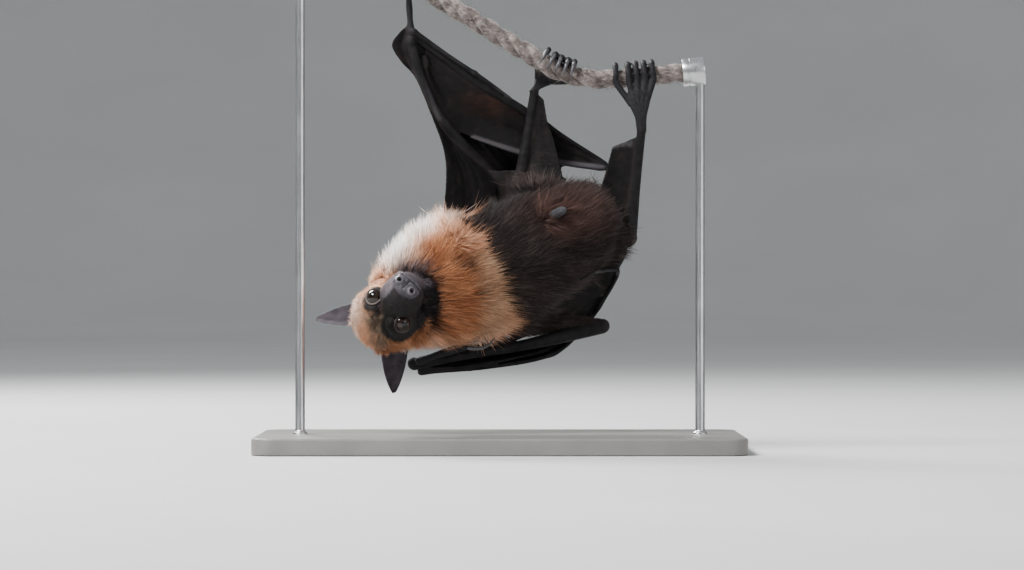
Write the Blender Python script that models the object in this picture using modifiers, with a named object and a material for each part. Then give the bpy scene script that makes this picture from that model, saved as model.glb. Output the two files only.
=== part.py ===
"""A fruit bat (flying fox) as a life-size still model on a plain display stand.

The bat hangs by both feet and the left thumb from a short cut length of rope. Its belly faces -Y,
its head is at -X and its tail end at +X. The left wing reaches up to the rope, half folded, and the
right one lies folded under the head and chest. Left and right are the animal's own.

Axes: +Z up, origin on the floor under the middle of the base. Landmarks are in millimetres.
"""

import math

import bmesh
import bpy
from mathutils import Vector

# Driving sizes, in millimetres.
GAP = 0.3
ROPE_RADIUS = 6.0
BASE_SIZE = (300.0, 164.0, 10.0)
BASE_CORNER = 14.0
ROD_RADIUS = 3.0
ROD_X = 124.0
WEB_THICKNESS = 0.9
EYE_RADIUS = 5.6
TOE_RADIUS = 1.75
TOE_RING = ROPE_RADIUS + TOE_RADIUS + 0.8
CLAW_RADIUS = 1.25
THUMB_RADIUS = 1.8
THUMB_RING = ROPE_RADIUS + THUMB_RADIUS + 0.6
THUMB_GRIP_X = -56.0

# The rope's centreline: a straight run down from the left post, a bend under the load, a near level run.
ROPE_ROUTE = [
    (-ROD_X, 0, 332.0),
    (-77, 0, 303.4),
    (-29, 0, 274.2),
    (16, 0, 246.8),
    (38, 0, 234.4),
    (62, 0, 230.0),
    (93, 0, 232.0),
    (ROD_X, 0, 235.0),
]

# Joints of the skeleton.
SHOULDER = {"left": (-22.9, -12, 134.0), "right": (-8, 3, 82.0)}
ELBOW = {"left": (18, 42, 150.0), "right": (64, 27, 76.5)}
WRIST = {"left": (-55.8, 7, 253.0), "right": (-53.3, -3, 53.5)}
HIP = {"left": (34, 6, 151.0), "right": (52, 5, 140.0)}
KNEE = {"left": (13, 20, 168.0), "right": (80.4, 7, 131.5)}
ANKLE = {"left": (21.5, 12.5, 224.0), "right": (87.4, -9.5, 198.0)}

# The head's own frame: origin midway between the eyes, with unit vectors out of the nose and the crown.
EYE_MIDDLE = Vector((-67.9, -41.0, 86.8))
NOSE_WAY = Vector((0.27, -0.86, 0.43)).normalized()
LEFT_WAY = Vector((-0.725, 0.11, 0.68))
LEFT_WAY = (LEFT_WAY - LEFT_WAY.dot(NOSE_WAY) * NOSE_WAY).normalized()
CROWN_WAY = NOSE_WAY.cross(LEFT_WAY).normalized()

# The trunk's own frame: left side and belly.
TRUNK_LEFT = Vector((-0.5, 0, 0.866))
BELLY_WAY = Vector((0, -1, 0))


# ---------------------------------------------------------------- materials and the collection


def material(name, colour, roughness, metallic=0.0):
    made = bpy.data.materials.new(name)
    made.use_nodes = True
    shader = made.node_tree.nodes["Principled BSDF"]
    shader.inputs["Base Color"].default_value = (*colour, 1)
    shader.inputs["Roughness"].default_value = roughness
    shader.inputs["Metallic"].default_value = metallic
    return made


def clear_scene():
    for obj in list(bpy.data.objects):
        bpy.data.objects.remove(obj)
    bpy.context.scene.collection.children.link(bpy.data.collections.new("fruit_bat"))


def add_object(name, mesh, finish):
    obj = bpy.data.objects.new(name, mesh)
    bpy.data.collections["fruit_bat"].objects.link(obj)
    mesh.materials.append(finish)
    mesh.shade_smooth()
    mesh.set_sharp_from_angle(angle=math.radians(50))


# ---------------------------------------------------------------- shapes


def between(a, b, c, d, t):
    """A smooth step from b to c, led by the values before and after them."""
    bend = 2 * a - 5 * b + 4 * c - d
    return 0.5 * (2 * b + (c - a) * t + bend * t * t + (3 * b - a - 3 * c + d) * t**3)


def smooth(points, count):
    """count points on a smooth curve through the given ones, evenly shared between them by length."""
    rows = [Vector(p) for p in points]
    ends = [2 * rows[0] - rows[1], *rows, 2 * rows[-1] - rows[-2]]
    spans = [(rows[i + 1] - rows[i]).length for i in range(len(rows) - 1)]
    total = sum(spans)
    out = []
    for k in range(count):
        left, i = total * k / (count - 1), 0
        while i < len(spans) - 1 and left > spans[i]:
            left -= spans[i]
            i += 1
        out.append(between(*ends[i : i + 4], min(1.0, left / spans[i])))
    return out


def blend_table(rows, count):
    """Rows of numbers, resampled smoothly to count rows."""
    last = len(rows) - 1
    out = []
    for k in range(count):
        at = last * k / (count - 1)
        i = min(int(at), last - 1)
        near = [rows[max(0, min(last, j))] for j in range(i - 1, i + 3)]
        out.append([between(*values, at - i) for values in zip(*near)])
    return out


def tube(name, points, radii, count=12, sides=8, round_ends=(True, True)):
    """A limb, finger or rod: a curve with a round bevel whose radius runs through radii, made a mesh."""
    path = smooth([Vector(p) for p in points], count)
    widths = [r[0] for r in blend_table([(r,) for r in radii], count)]
    if round_ends[0]:
        out = (path[0] - path[1]).normalized()
        path = [path[0] + out * widths[0] * 0.55, *path]
        widths = [widths[0] * 0.55, *widths]
    if round_ends[1]:
        out = (path[-1] - path[-2]).normalized()
        path = [*path, path[-1] + out * widths[-1] * 0.55]
        widths = [*widths, widths[-1] * 0.55]
    data = bpy.data.curves.new(name, "CURVE")
    data.dimensions = "3D"
    data.bevel_depth = 0.001
    data.bevel_resolution = (sides - 4) // 2
    data.use_fill_caps = True
    spline = data.splines.new("POLY")
    spline.points.add(len(path) - 1)
    for knot, place, width in zip(spline.points, path, widths):
        knot.co = (*(place * 0.001), 1)
        knot.radius = width
    curve = bpy.data.objects.new(name + "_curve", data)
    bpy.context.scene.collection.objects.link(curve)
    graph = bpy.context.evaluated_depsgraph_get()
    mesh = bpy.data.meshes.new_from_object(curve.evaluated_get(graph))
    bpy.data.objects.remove(curve)
    return welded(mesh)


def welded(mesh, distance=1e-5):
    work = bmesh.new()
    work.from_mesh(mesh)
    bmesh.ops.remove_doubles(work, verts=work.verts, dist=distance)
    bmesh.ops.recalc_face_normals(work, faces=work.faces)
    work.to_mesh(mesh)
    work.free()
    return mesh


def loft(stations, side, front, rings=12, sides=20):
    """A body form through unlike oval sections. A station is (centre, left, right, front, back):
    its middle and how far the surface lies from it each way, in millimetres."""
    table = blend_table([(*c, *reach) for c, *reach in stations], rings)
    work = bmesh.new()
    loops = []
    for x, y, z, left, right, ahead, behind in table:
        ring = []
        for k in range(sides):
            angle = 2 * math.pi * k / sides
            across, deep = math.cos(angle), math.sin(angle)
            place = (
                Vector((x, y, z))
                + side * across * (left if across > 0 else right)
                + front * deep * (ahead if deep > 0 else behind)
            )
            ring.append(work.verts.new(place * 0.001))
        loops.append(ring)
    for below, above in zip(loops, loops[1:]):
        for k in range(sides):
            n = (k + 1) % sides
            work.faces.new((below[k], below[n], above[n], above[k]))
    work.faces.new(loops[0])
    work.faces.new(loops[-1][::-1])
    bmesh.ops.recalc_face_normals(work, faces=work.faces)
    mesh = bpy.data.meshes.new("loft")
    work.to_mesh(mesh)
    work.free()
    return mesh


def sheet(edge_a, edge_b, columns=10, rows=5, billow=(0, 0, 0), inset=(0, 0)):
    """A wing web: a surface stretched between two curves and bellied out by billow, with real
    thickness. Each edge stands in from its curve by its inset, to clear the bone there."""
    curve_a, curve_b = smooth(edge_a, columns + 1), smooth(edge_b, columns + 1)
    work = bmesh.new()
    grid = []
    for i in range(columns + 1):
        line = []
        span = max((curve_b[i] - curve_a[i]).length, 0.1)
        first, last = min(inset[0] / span, 0.42), 1 - min(inset[1] / span, 0.42)
        for j in range(rows + 1):
            t = first + (last - first) * j / rows
            belly = math.sin(math.pi * t) * math.sin(math.pi * min(1.0, 0.15 + 0.85 * i / columns))
            line.append(work.verts.new((curve_a[i].lerp(curve_b[i], t) + Vector(billow) * belly) * 0.001))
        grid.append(line)
    for i in range(columns):
        for j in range(rows):
            work.faces.new((grid[i][j], grid[i + 1][j], grid[i + 1][j + 1], grid[i][j + 1]))
    mesh = bpy.data.meshes.new("sheet")
    work.to_mesh(mesh)
    work.free()
    holder = bpy.data.objects.new("sheet", mesh)
    bpy.context.scene.collection.objects.link(holder)
    solid = holder.modifiers.new("thickness", "SOLIDIFY")
    solid.thickness = WEB_THICKNESS * 0.001
    solid.offset = 0
    return applied(holder)


def applied(holder):
    """The mesh that an object's modifiers give. The object itself is removed."""
    graph = bpy.context.evaluated_depsgraph_get()
    mesh = bpy.data.meshes.new_from_object(holder.evaluated_get(graph))
    bpy.data.objects.remove(holder)
    return welded(mesh)


def ellipsoid(centre, radii, axes, segments=16):
    """An egg form from a UV sphere, stretched along its own three axes."""
    work = bmesh.new()
    bmesh.ops.create_uvsphere(work, u_segments=segments, v_segments=segments // 2 + 1, radius=1)
    for vert in work.verts:
        flat = vert.co.copy()
        vert.co = (Vector(centre) + sum((axes[k] * radii[k] * flat[k] for k in range(3)), Vector())) * 0.001
    bmesh.ops.recalc_face_normals(work, faces=work.faces)
    mesh = bpy.data.meshes.new("ellipsoid")
    work.to_mesh(mesh)
    work.free()
    return mesh


def closed(mesh):
    counts = {}
    for face in mesh.polygons:
        for key in face.edge_keys:
            counts[key] = counts.get(key, 0) + 1
    return all(n == 2 for n in counts.values())


def volume(mesh):
    work = bmesh.new()
    work.from_mesh(mesh)
    size = work.calc_volume()
    work.free()
    return size


def boolean(mesh, other, operation):
    """mesh joined with, or cut by, other. The second solver is for where the first leaves an open mesh
    or one whose volume can't be right."""
    before, extra = volume(mesh), volume(other)
    if operation == "UNION":
        least, most = max(before, extra), before + extra
    else:
        least, most = max(before - extra, before * 0.02), before
    for solver in ("EXACT", "MANIFOLD"):
        first = bpy.data.objects.new("first", mesh.copy())
        second = bpy.data.objects.new("second", other)
        for obj in (first, second):
            bpy.context.scene.collection.objects.link(obj)
        step = first.modifiers.new("boolean", "BOOLEAN")
        step.operation = operation
        step.solver = solver
        step.object = second
        result = applied(first)
        bpy.data.objects.remove(second)
        if closed(result) and least - 1e-12 < volume(result) < most - 1e-14:
            return result
    return mesh


def joined(meshes):
    whole = meshes[0]
    for other in meshes[1:]:
        whole = boolean(whole, other, "UNION")
    return whole


def grown(mesh, by=GAP):
    """A copy whose surface stands out by the fitting gap, to cut a neighbour with."""
    copy = mesh.copy()
    normals = [v.normal.copy() for v in copy.vertices]
    for vert, normal in zip(copy.vertices, normals):
        vert.co += normal * by * 0.001
    return copy


def largest_body(mesh):
    """Only the largest loose body of a mesh, since a cut can leave slivers behind."""
    work = bmesh.new()
    work.from_mesh(mesh)
    left = set(work.verts)
    bodies = []
    while left:
        stack, body = [left.pop()], set()
        while stack:
            vert = stack.pop()
            body.add(vert)
            for edge in vert.link_edges:
                other = edge.other_vert(vert)
                if other in left:
                    left.remove(other)
                    stack.append(other)
        bodies.append(body)
    keep = max(bodies, key=lambda b: box_size(b))
    bmesh.ops.delete(work, geom=[v for v in work.verts if v not in keep], context="VERTS")
    bmesh.ops.dissolve_limit(work, angle_limit=math.radians(1.2), verts=work.verts, edges=work.edges)
    bmesh.ops.triangulate(work, faces=work.faces)
    bmesh.ops.dissolve_degenerate(work, edges=work.edges, dist=2e-5)
    work.to_mesh(mesh)
    work.free()
    return mesh


def box_size(verts):
    spans = [[v.co[k] for v in verts] for k in range(3)]
    return sum(max(s) - min(s) for s in spans)


def overlap_boxes(first, second):
    for k in range(3):
        a, b = [v.co[k] for v in first.vertices], [v.co[k] for v in second.vertices]
        if max(a) < min(b) or max(b) < min(a):
            return False
    return True


def cut_by(mesh, neighbours):
    for other in neighbours:
        wide = grown(other)
        if overlap_boxes(mesh, wide):
            mesh = largest_body(boolean(mesh, wide, "DIFFERENCE"))
    return mesh


# ---------------------------------------------------------------- the rope perch and its stand


def rope_point(x):
    """The rope's centre and its direction where it passes the given X."""
    route = smooth(ROPE_ROUTE, 400)
    near = min(range(1, 399), key=lambda i: abs(route[i].x - x))
    return route[near], (route[near + 1] - route[near - 1]).normalized()


def make_rope():
    return tube("rope", ROPE_ROUTE, [ROPE_RADIUS] * 2, count=17, sides=10, round_ends=(False, False))


def make_base():
    work = bmesh.new()
    bmesh.ops.create_cube(work, size=1)
    for vert in work.verts:
        vert.co = Vector(vert.co[k] * BASE_SIZE[k] for k in range(3)) * 0.001
        vert.co.z += BASE_SIZE[2] * 0.0005
    upright = [e for e in work.edges if abs(e.verts[0].co.z - e.verts[1].co.z) > 1e-4]
    bmesh.ops.bevel(
        work, geom=upright, offset=BASE_CORNER * 0.001, segments=4, affect="EDGES", profile=0.5
    )
    top = [e for e in work.edges if min(v.co.z for v in e.verts) > BASE_SIZE[2] * 0.00099]
    bmesh.ops.bevel(work, geom=top, offset=0.0015, segments=1, affect="EDGES", profile=0.5)
    mesh = bpy.data.meshes.new("base")
    work.to_mesh(mesh)
    work.free()
    return mesh


def make_rope_cap(side, rope):
    """A turned metal cap over one end of the rope, with a blind socket that the rope end sits in."""
    end, inward = (ROPE_ROUTE[0], ROPE_ROUTE[1]) if side < 0 else (ROPE_ROUTE[-1], ROPE_ROUTE[-2])
    way = (Vector(inward) - Vector(end)).normalized()
    outer = Vector(end) - way * 3.0
    mouth = Vector(end) + way * 11.0
    cap = tube("cap", [outer, mouth], [8.6, 8.6], count=2, sides=12, round_ends=(False, False))
    return cut_by(cap, [rope])


def make_rod(side, cap):
    top = ROPE_ROUTE[0][2] if side < 0 else ROPE_ROUTE[-1][2]
    foot = Vector((side * ROD_X, 0, BASE_SIZE[2] + GAP))
    head = Vector((side * ROD_X, 0, top))
    rod = tube("rod", [foot, head], [ROD_RADIUS, ROD_RADIUS], count=2, sides=10, round_ends=(False, False))
    return cut_by(rod, [cap])


# ---------------------------------------------------------------- head


def head_point(nose, crown, left):
    """A place given in the head's own frame."""
    return EYE_MIDDLE + NOSE_WAY * nose + CROWN_WAY * crown + LEFT_WAY * left


# Along the head from the nose back: place on the nose axis, half width, height of the crown line and
# depth of the throat line, out to the fur's tips.
HEAD_SECTIONS = [
    (28.4, 4.0, -3.4, -9.0),
    (27.4, 6.2, -1.9, -11.2),
    (24.5, 8.0, -0.9, -15.2),
    (19.5, 9.3, 0.6, -17.6),
    (13.0, 11.0, 2.4, -19.4),
    (7.0, 13.2, 4.8, -20.8),
    (1.0, 15.4, 8.8, -22.4),
    (-6.0, 19.4, 13.8, -24.4),
    (-13.0, 22.2, 17.0, -25.4),
    (-20.0, 22.6, 17.4, -24.4),
    (-27.0, 20.4, 14.6, -20.4),
    (-33.0, 15.0, 9.0, -14.0),
    (-36.0, 8.5, 3.5, -7.5),
]


def make_head(eyes):
    stations = []
    for nose, half, top, low in HEAD_SECTIONS:
        middle = (top + low) / 2
        reach = (top - low) / 2
        stations.append((head_point(nose, middle, 0), half, half, reach, reach))
    head = loft(stations, LEFT_WAY, CROWN_WAY, rings=14, sides=16)
    for way in (1, -1):
        rim = tube(
            "nostril",
            [head_point(24.0, -5.6, way * 3.4), head_point(28.9, -5.2, way * 5.1)],
            [2.3, 2.1],
            count=2,
            sides=6,
            round_ends=(False, False),
        )
        head = boolean(head, rim, "UNION")
    return cut_by(head, eyes)


def make_eye(way):
    middle = head_point(-0.4, 0, way * 11.0)
    return ellipsoid(middle, (EYE_RADIUS,) * 3, (LEFT_WAY, NOSE_WAY, CROWN_WAY), 10)


def make_ear(way, head):
    """A pointed ear: a leaf rolled round its own length, open to the front, rooted in the head."""
    root = head_point(-25.5, 1.0, way * 16.0)
    tip = head_point(-44.5, 15.6, way * 34.1)
    along = (tip - root).normalized()
    opening = (NOSE_WAY * 0.75 + LEFT_WAY * way * 0.5 - CROWN_WAY * 0.1).normalized()
    opening = (opening - opening.dot(along) * along).normalized()
    across = along.cross(opening)
    length, columns, rows = (tip - root).length, 7, 6
    work = bmesh.new()
    grid = []
    for i in range(columns + 1):
        t = i / columns
        width = 9.6 * (1 - t**2.0) ** 0.8 * (0.85 + 0.35 * t) + 0.5
        roll = math.radians(150 - 70 * t)
        line = []
        for j in range(rows + 1):
            turn = roll * (j / rows - 0.5)
            bend = width / math.sin(max(roll / 2, 0.2)) if roll < math.pi else width
            place = root + along * length * t
            place += across * bend * math.sin(turn) - opening * bend * (math.cos(turn) - math.cos(roll / 2))
            line.append(work.verts.new(place * 0.001))
        grid.append(line)
    for i in range(columns):
        for j in range(rows):
            work.faces.new((grid[i][j], grid[i + 1][j], grid[i + 1][j + 1], grid[i][j + 1]))
    mesh = bpy.data.meshes.new("ear")
    work.to_mesh(mesh)
    work.free()
    holder = bpy.data.objects.new("ear", mesh)
    bpy.context.scene.collection.objects.link(holder)
    solid = holder.modifiers.new("thickness", "SOLIDIFY")
    solid.thickness = 0.0009
    solid.offset = 0
    return cut_by(applied(holder), [head])


# ---------------------------------------------------------------- neck and trunk


# From the shoulders to the back of the skull: centre, then reach to the left, right, throat and nape.
# The rings of the mantle and the trunk are parallel, so the two meet face to face.
MANTLE_SECTIONS = [
    ((-8.3, -2, 111.85), 38.5, 39.0, 28.5, 30.5),
    ((-12, -3, 110), 41.8, 40.0, 29.5, 31.5),
    ((-20, -6, 106.5), 44.5, 40.0, 29.5, 32),
    ((-30, -9, 102), 45.5, 39.5, 29, 32),
    ((-41, -13, 96.5), 42.5, 37.5, 27, 32),
    ((-52, -18, 91), 38.0, 34.0, 23, 31),
    ((-62, -23, 86), 32.5, 30.0, 14, 29),
    ((-71, -25, 80.5), 26.0, 24.0, 9, 23),
    ((-76, -24, 78), 15.0, 15.0, 5, 13),
]

# From the rump to the shoulders: centre, then reach to the left, right, belly and back.
TRUNK_SECTIONS = [
    ((70, 5, 152), 7.0, 7.0, 8, 8),
    ((66, 4, 150.5), 16.0, 17.5, 16, 15),
    ((57, 3, 146), 24.0, 26.0, 22, 22),
    ((44, 2, 139), 29.0, 33.0, 26, 27),
    ((27, 0, 130), 32.5, 37.5, 28, 30),
    ((9, -1, 120), 34.0, 38.5, 29, 31),
    ((-8, -2, 112), 36.5, 38.5, 28.5, 30.5),
]


def make_trunk():
    return loft(TRUNK_SECTIONS, TRUNK_LEFT, BELLY_WAY, rings=10, sides=18)


def make_neck(head, eyes):
    return cut_by(loft(MANTLE_SECTIONS, TRUNK_LEFT, BELLY_WAY, rings=9, sides=18), [head, *eyes])


def make_sheath(trunk):
    """The male's bare sheath, a short grey nub that stands out of the belly fur."""
    root, tip = Vector((32.5, -24, 144.5)), Vector((40.5, -32.5, 148.8))
    return cut_by(tube("sheath", [root, tip], [2.6, 1.9], count=4), [trunk])


# ---------------------------------------------------------------- legs, feet and claws


def around_rope(x, degrees, radius, toward_back):
    """A place beside the rope: 0 degrees is the side that a toe starts on, 90 the top, 180 the far side."""
    centre, along = rope_point(x)
    up = Vector((-along.z, 0, along.x))
    out = Vector((0, -1 if toward_back else 1, 0))
    angle = math.radians(degrees)
    return centre + (out * math.cos(angle) + up * math.sin(angle)) * radius


def make_toe(x, knuckle, toward_back, first_degrees=-22, last_degrees=128):
    """A toe from the ball of the foot, round the rope, and its claw. Returns both meshes."""
    bends = [first_degrees + (last_degrees - first_degrees) * k / 4 for k in range(5)]
    path = [Vector(knuckle)] + [around_rope(x, d, TOE_RING, toward_back) for d in bends]
    toe = tube("toe", path, [1.9, 1.8, TOE_RADIUS, TOE_RADIUS, 1.6, 1.5], 6, 6, (False, False))
    start = last_degrees + math.degrees(2.2 * GAP / TOE_RING)
    claw_bends = [start, start + 24, start + 48, start + 68]
    lift = [0, 0.5, 0.1, -0.9]
    hook = [around_rope(x, d, TOE_RING + r, toward_back) for d, r in zip(claw_bends, lift)]
    claw = tube("claw", hook, [CLAW_RADIUS, 1.05, 0.7, 0.35], 5, 4, (False, False))
    return toe, claw


# Where along the rope each toe grips, and where it leaves the ball of the foot.
TOES = {
    "left": [(25.5, (23.5, 13.0, 231)), (30.0, (26.5, 13.0, 231.5)), (34.6, (29.0, 13.2, 231.5)),
             (39.4, (31.5, 13.2, 230.5)), (44.0, (33.5, 12.8, 229))],
    "right": [(71.5, (81.0, -9.6, 214)), (79.6, (82.2, -10.2, 217)), (84.6, (85.0, -10.4, 218)),
              (89.6, (88.0, -10.4, 218)), (94.4, (91.0, -10.2, 217))],
}
FOOT_BALL = {"left": (28.0, 13.0, 231.0), "right": (86.4, -10.0, 215.5)}


def make_foot(side, shin):
    toward_back = side == "right"
    ball = Vector(FOOT_BALL[side])
    heel = Vector(ANKLE[side]) + (ball - Vector(ANKLE[side])).normalized() * 1.5
    sole = loft(
        [(heel, 3.3, 3.3, 2.8, 2.8), ((heel + ball) / 2, 3.8, 3.8, 2.7, 2.7), (ball, 6.2, 6.2, 2.6, 2.6),
         (ball + (ball - heel).normalized() * 2.5, 5.6, 5.6, 1.9, 1.9)],
        Vector((1, 0, 0)), Vector((0, -1, 0)), rings=5, sides=10,
    )
    toes, claws = [], []
    for x, knuckle in TOES[side]:
        toe, claw = make_toe(x, knuckle, toward_back)
        toes.append(toe)
        claws.append(claw)
    foot = cut_by(joined([sole, *toes]), [shin])
    return foot, claws


def make_shin(side):
    ankle, knee = Vector(ANKLE[side]), Vector(KNEE[side])
    bow = (ankle + knee) / 2 + Vector((0, 1.5, 0))
    return tube("shin", [ankle, bow, knee], [2.9, 3.4, 4.6], count=6, sides=8)


def make_thigh(side, trunk, shin):
    knee, hip = Vector(KNEE[side]), Vector(HIP[side])
    return cut_by(tube("thigh", [knee, (knee + hip) / 2, hip], [7.4, 10.0, 12.0], 5, 8), [trunk, shin])


# ---------------------------------------------------------------- arms


FOREARM_BOW = {
    "left": [(-47.5, 9, 227.5), (-35.0, 13, 204.0), (-11.5, 24.5, 177.5)],
    "right": [(-20.0, 0, 59.0), (22.0, 7, 66.5)],
}


def make_forearm(side):
    path = [WRIST[side], *FOREARM_BOW[side], ELBOW[side]]
    return tube("forearm", path, [3.7, 2.9, 3.3, 4.2, 5.0], count=11, sides=8)


def make_upper_arm(side, neighbours):
    shoulder, elbow = Vector(SHOULDER[side]), Vector(ELBOW[side])
    middle = (shoulder + elbow) / 2 + Vector((0, 3, -1))
    return cut_by(tube("upper_arm", [elbow, middle, shoulder], [5.6, 8.5, 12.0], 5, 8), neighbours)


THUMB_ROOT = {"left": (-55.4, 7.5, 258.5), "right": (-49.5, -8.5, 55.5)}


def make_thumb(side, neighbours):
    """The free thumb and its claw. The left one hooks over the rope, the right lies along the forearm."""
    if side == "left":
        wrap = [around_rope(THUMB_GRIP_X, d, THUMB_RING, False) for d in (-8, 35, 75, 110)]
        path = [THUMB_ROOT[side], (-56.2, 8.6, 270), (-56.8, 8.6, 281), *wrap]
        radii = [2.9, 2.0, THUMB_RADIUS, THUMB_RADIUS, 1.7, 1.6, 1.5]
        hook = ((115, 0), (140, 0.4), (168, 0.1), (190, -1))
        claw_path = [around_rope(THUMB_GRIP_X, d, THUMB_RING + r, False) for d, r in hook]
    else:
        path = [THUMB_ROOT[side], (-40, -13.5, 58.5), (-29, -15.5, 61.8), (-20.5, -15.5, 63.6)]
        radii = [2.8, 2.2, 2.0, 1.7]
        claw_path = [(-19.9, -15.5, 63.6), (-14.0, -15.8, 63.2), (-8.0, -16.2, 64.6), (-3.4, -16.8, 69.6)]
    thumb = cut_by(tube("thumb", path, radii, 11, 6, (True, False)), neighbours)
    claw = tube("claw", claw_path, [1.6, 1.35, 0.9, 0.35], 6, 6, (False, False))
    return thumb, cut_by(claw, neighbours)


# Each finger from the wrist out: the hand bone, then the finger bones, with the last bones folded back.
FINGERS = {
    "left": {
        2: [(-53.5, 5.0, 259.5), (-30, 8.8, 243.5), (-8.0, 12.0, 229.0), (6.0, 15.0, 219.5)],
        3: [(-53.0, 8.0, 256.5), (-14.5, 14.5, 228.0), (18.6, 21, 209.2), (44, 26, 192.5),
            (66.5, 29.0, 178.0), (64.0, 27.5, 175.4), (37.2, 25.5, 178.8), (11.8, 23.5, 185.0),
            (-18.0, 21.0, 194.6)],
        4: [(-53.5, 11.5, 254.0), (-22, 22, 224.0), (7.4, 31.5, 194.0), (24.0, 36, 181.0),
            (41.0, 38.5, 168.5)],
        5: [(-53.5, 12.5, 250.0), (-26, 24, 211.0), (0.5, 34.5, 177.0), (12.0, 41, 166.0),
            (27.0, 44.5, 159.5)],
    },
    "right": {
        2: [(-49.0, 0.5, 50.0), (-22, 5.0, 51.5), (2, 9.5, 55.5), (14, 12.0, 58.0)],
        3: [(-49.0, 3.0, 48.5), (-10, 9.5, 51.0), (31, 21, 58.5), (52, 38, 75.0),
            (66.0, 33.0, 95.0), (73.4, 17.0, 109.5), (70.0, 9.5, 112.0), (59.0, -4.5, 110.5),
            (49.5, -15.0, 105.5)],
        4: [(-48.5, 5.6, 51.5), (-10, 13.0, 54.5), (30, 25, 62.0), (46, 39, 77.0), (60.0, 38, 93.0)],
        5: [(-48.0, 7.4, 55.0), (-10, 16.0, 58.5), (26, 28, 66.0), (40, 38.5, 79.0), (53.0, 41, 90.0)],
    },
}


def make_finger(side, number, neighbours):
    path = FINGERS[side][number]
    tip = 0.75 if number == 2 else 0.9
    radii = [1.8] + [1.45] * (len(path) - 2) + [tip]
    count = {2: 6, 3: 17}.get(number, 8)
    return cut_by(tube("finger", path, radii, count, 6), neighbours)


# ---------------------------------------------------------------- wing webs


def make_propatagium(side, neighbours):
    """The web in front of the elbow, from the shoulder to the wrist."""
    if side == "left":
        free = [(-57.5, 7.5, 264), (-63.5, 7.5, 258.5), (-67.3, 7.5, 251), (-61.5, 7.8, 241),
                (-53.0, 8.2, 232), (-42.0, 9.0, 206), (-35.0, 4.0, 186), (-33.5, -2.0, 168),
                (-37.5, -7.0, 146)]
        bone = [(-55.0, 7.5, 262), (-56.0, 7.4, 258), (-56.0, 7.2, 253), (-52.5, 8, 243),
                (-47.5, 9, 227.5), (-35.0, 13, 204.0), (-20.0, 19, 186), (-4.0, 22, 168),
                (-2.0, 14, 146)]
        return cut_by(sheet(free, bone, columns=9, rows=2, billow=(0, 2.0, 0)), neighbours)
    free = [(-43.0, -4.5, 60.0), (-30.0, -4.0, 64.5), (-14.0, -3.0, 69.0), (-6.0, -2.0, 71.0)]
    bone = [(-42.0, -2.6, 55.4), (-22.0, 0, 58.8), (0.0, 3.0, 62.5), (14.0, 6.5, 66.0)]
    return cut_by(sheet(free, bone, columns=4, rows=2, billow=(0, 1.0, 0), inset=(0, 4.3)), neighbours)


def make_fold_web(side, neighbours):
    """The folded layer of the hand's web. On the left wing it runs from the long finger's bones to its
    turned-back tip. On the right one it lies behind the closed fingers."""
    if side == "left":
        upper = [(-46.5, 10.0, 249.5), (-14.5, 14.6, 227.8), (18.6, 21, 209.0), (44, 26, 192.3),
                 (58.0, 28.0, 183.0)]
        lower = [(-46.5, 10.5, 240.0), (-36.5, 12.5, 206.5), (-18.0, 21.0, 194.6),
                 (11.8, 23.5, 185.0), (37.2, 25.5, 178.9), (56.0, 27.2, 176.9)]
        fold = sheet(upper, lower, columns=9, rows=3, billow=(-1, 5.0, -1), inset=(2.1, 0))
        return cut_by(fold, neighbours)
    back = Vector((0, 2.6, -1.6))
    edges = [[Vector(p) + back for p in FINGERS[side][n]] for n in (3, 5)]
    edges[0], edges[1] = edges[0][:5], edges[1][:5]
    return cut_by(sheet(edges[0], edges[1], columns=8, rows=2, billow=(0, 2.5, -1.5)), neighbours)


def finger_web(side, first, second, reach, billow, neighbours):
    """A web between two fingers of a wing, over the given share of their length."""
    edges = []
    for number in (first, second):
        curve = smooth(FINGERS[side][number][:5], 41)
        start, end = int(40 * reach[0]), int(40 * reach[1])
        edges.append(curve[start : end + 1 : max(1, (end - start) // 6)])
    return cut_by(sheet(edges[0], edges[1], 6, 2, billow, (2.0, 2.0)), neighbours)


def make_arm_web(neighbours):
    """The left wing's web between the forearm and the fifth finger."""
    bone = [(-47.5, 9.5, 232.0), (-35.0, 13, 204.0), (-11.5, 24.5, 177.5), (8.0, 36, 159.0)]
    finger = [(-43.0, 17.0, 234.0), (-26, 24, 211.0), (0.5, 34.5, 177.0), (12.5, 41, 165.5)]
    return cut_by(sheet(bone, finger, columns=6, rows=2, billow=(0, 2, 0), inset=(4.6, 2.0)), neighbours)


def make_flank_web(side, neighbours):
    """The broad web from the leg and flank to the fifth finger and the elbow."""
    if side == "left":
        body = [(20.0, 14.0, 219), (17.0, 18, 196), (14.0, 21.5, 172), (20.0, 27.0, 162), (4.0, 29, 146)]
        wing = [(39.0, 41.0, 176), (34.0, 44, 168), (27.0, 46.5, 157.5), (20.0, 47.5, 154),
                (10.0, 38.0, 148)]
        web = sheet(body, wing, columns=7, rows=3, billow=(0, 3, -2), inset=(3.4, 0))
        return cut_by(web, neighbours)
    body = [(88.0, -6.5, 193), (85.5, 2, 165), (82.0, 8.5, 133), (66.0, 16, 129), (46.0, 21, 114),
            (28.0, 24, 101)]
    wing = [(74.5, 24.0, 112), (70.0, 31, 102), (64.0, 37, 94), (57.0, 37.0, 84), (42.0, 26.0, 81),
            (24.0, 17.0, 84)]
    return cut_by(sheet(body, wing, columns=8, rows=3, billow=(3, 5, 0), inset=(3.6, 0)), neighbours)


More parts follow.
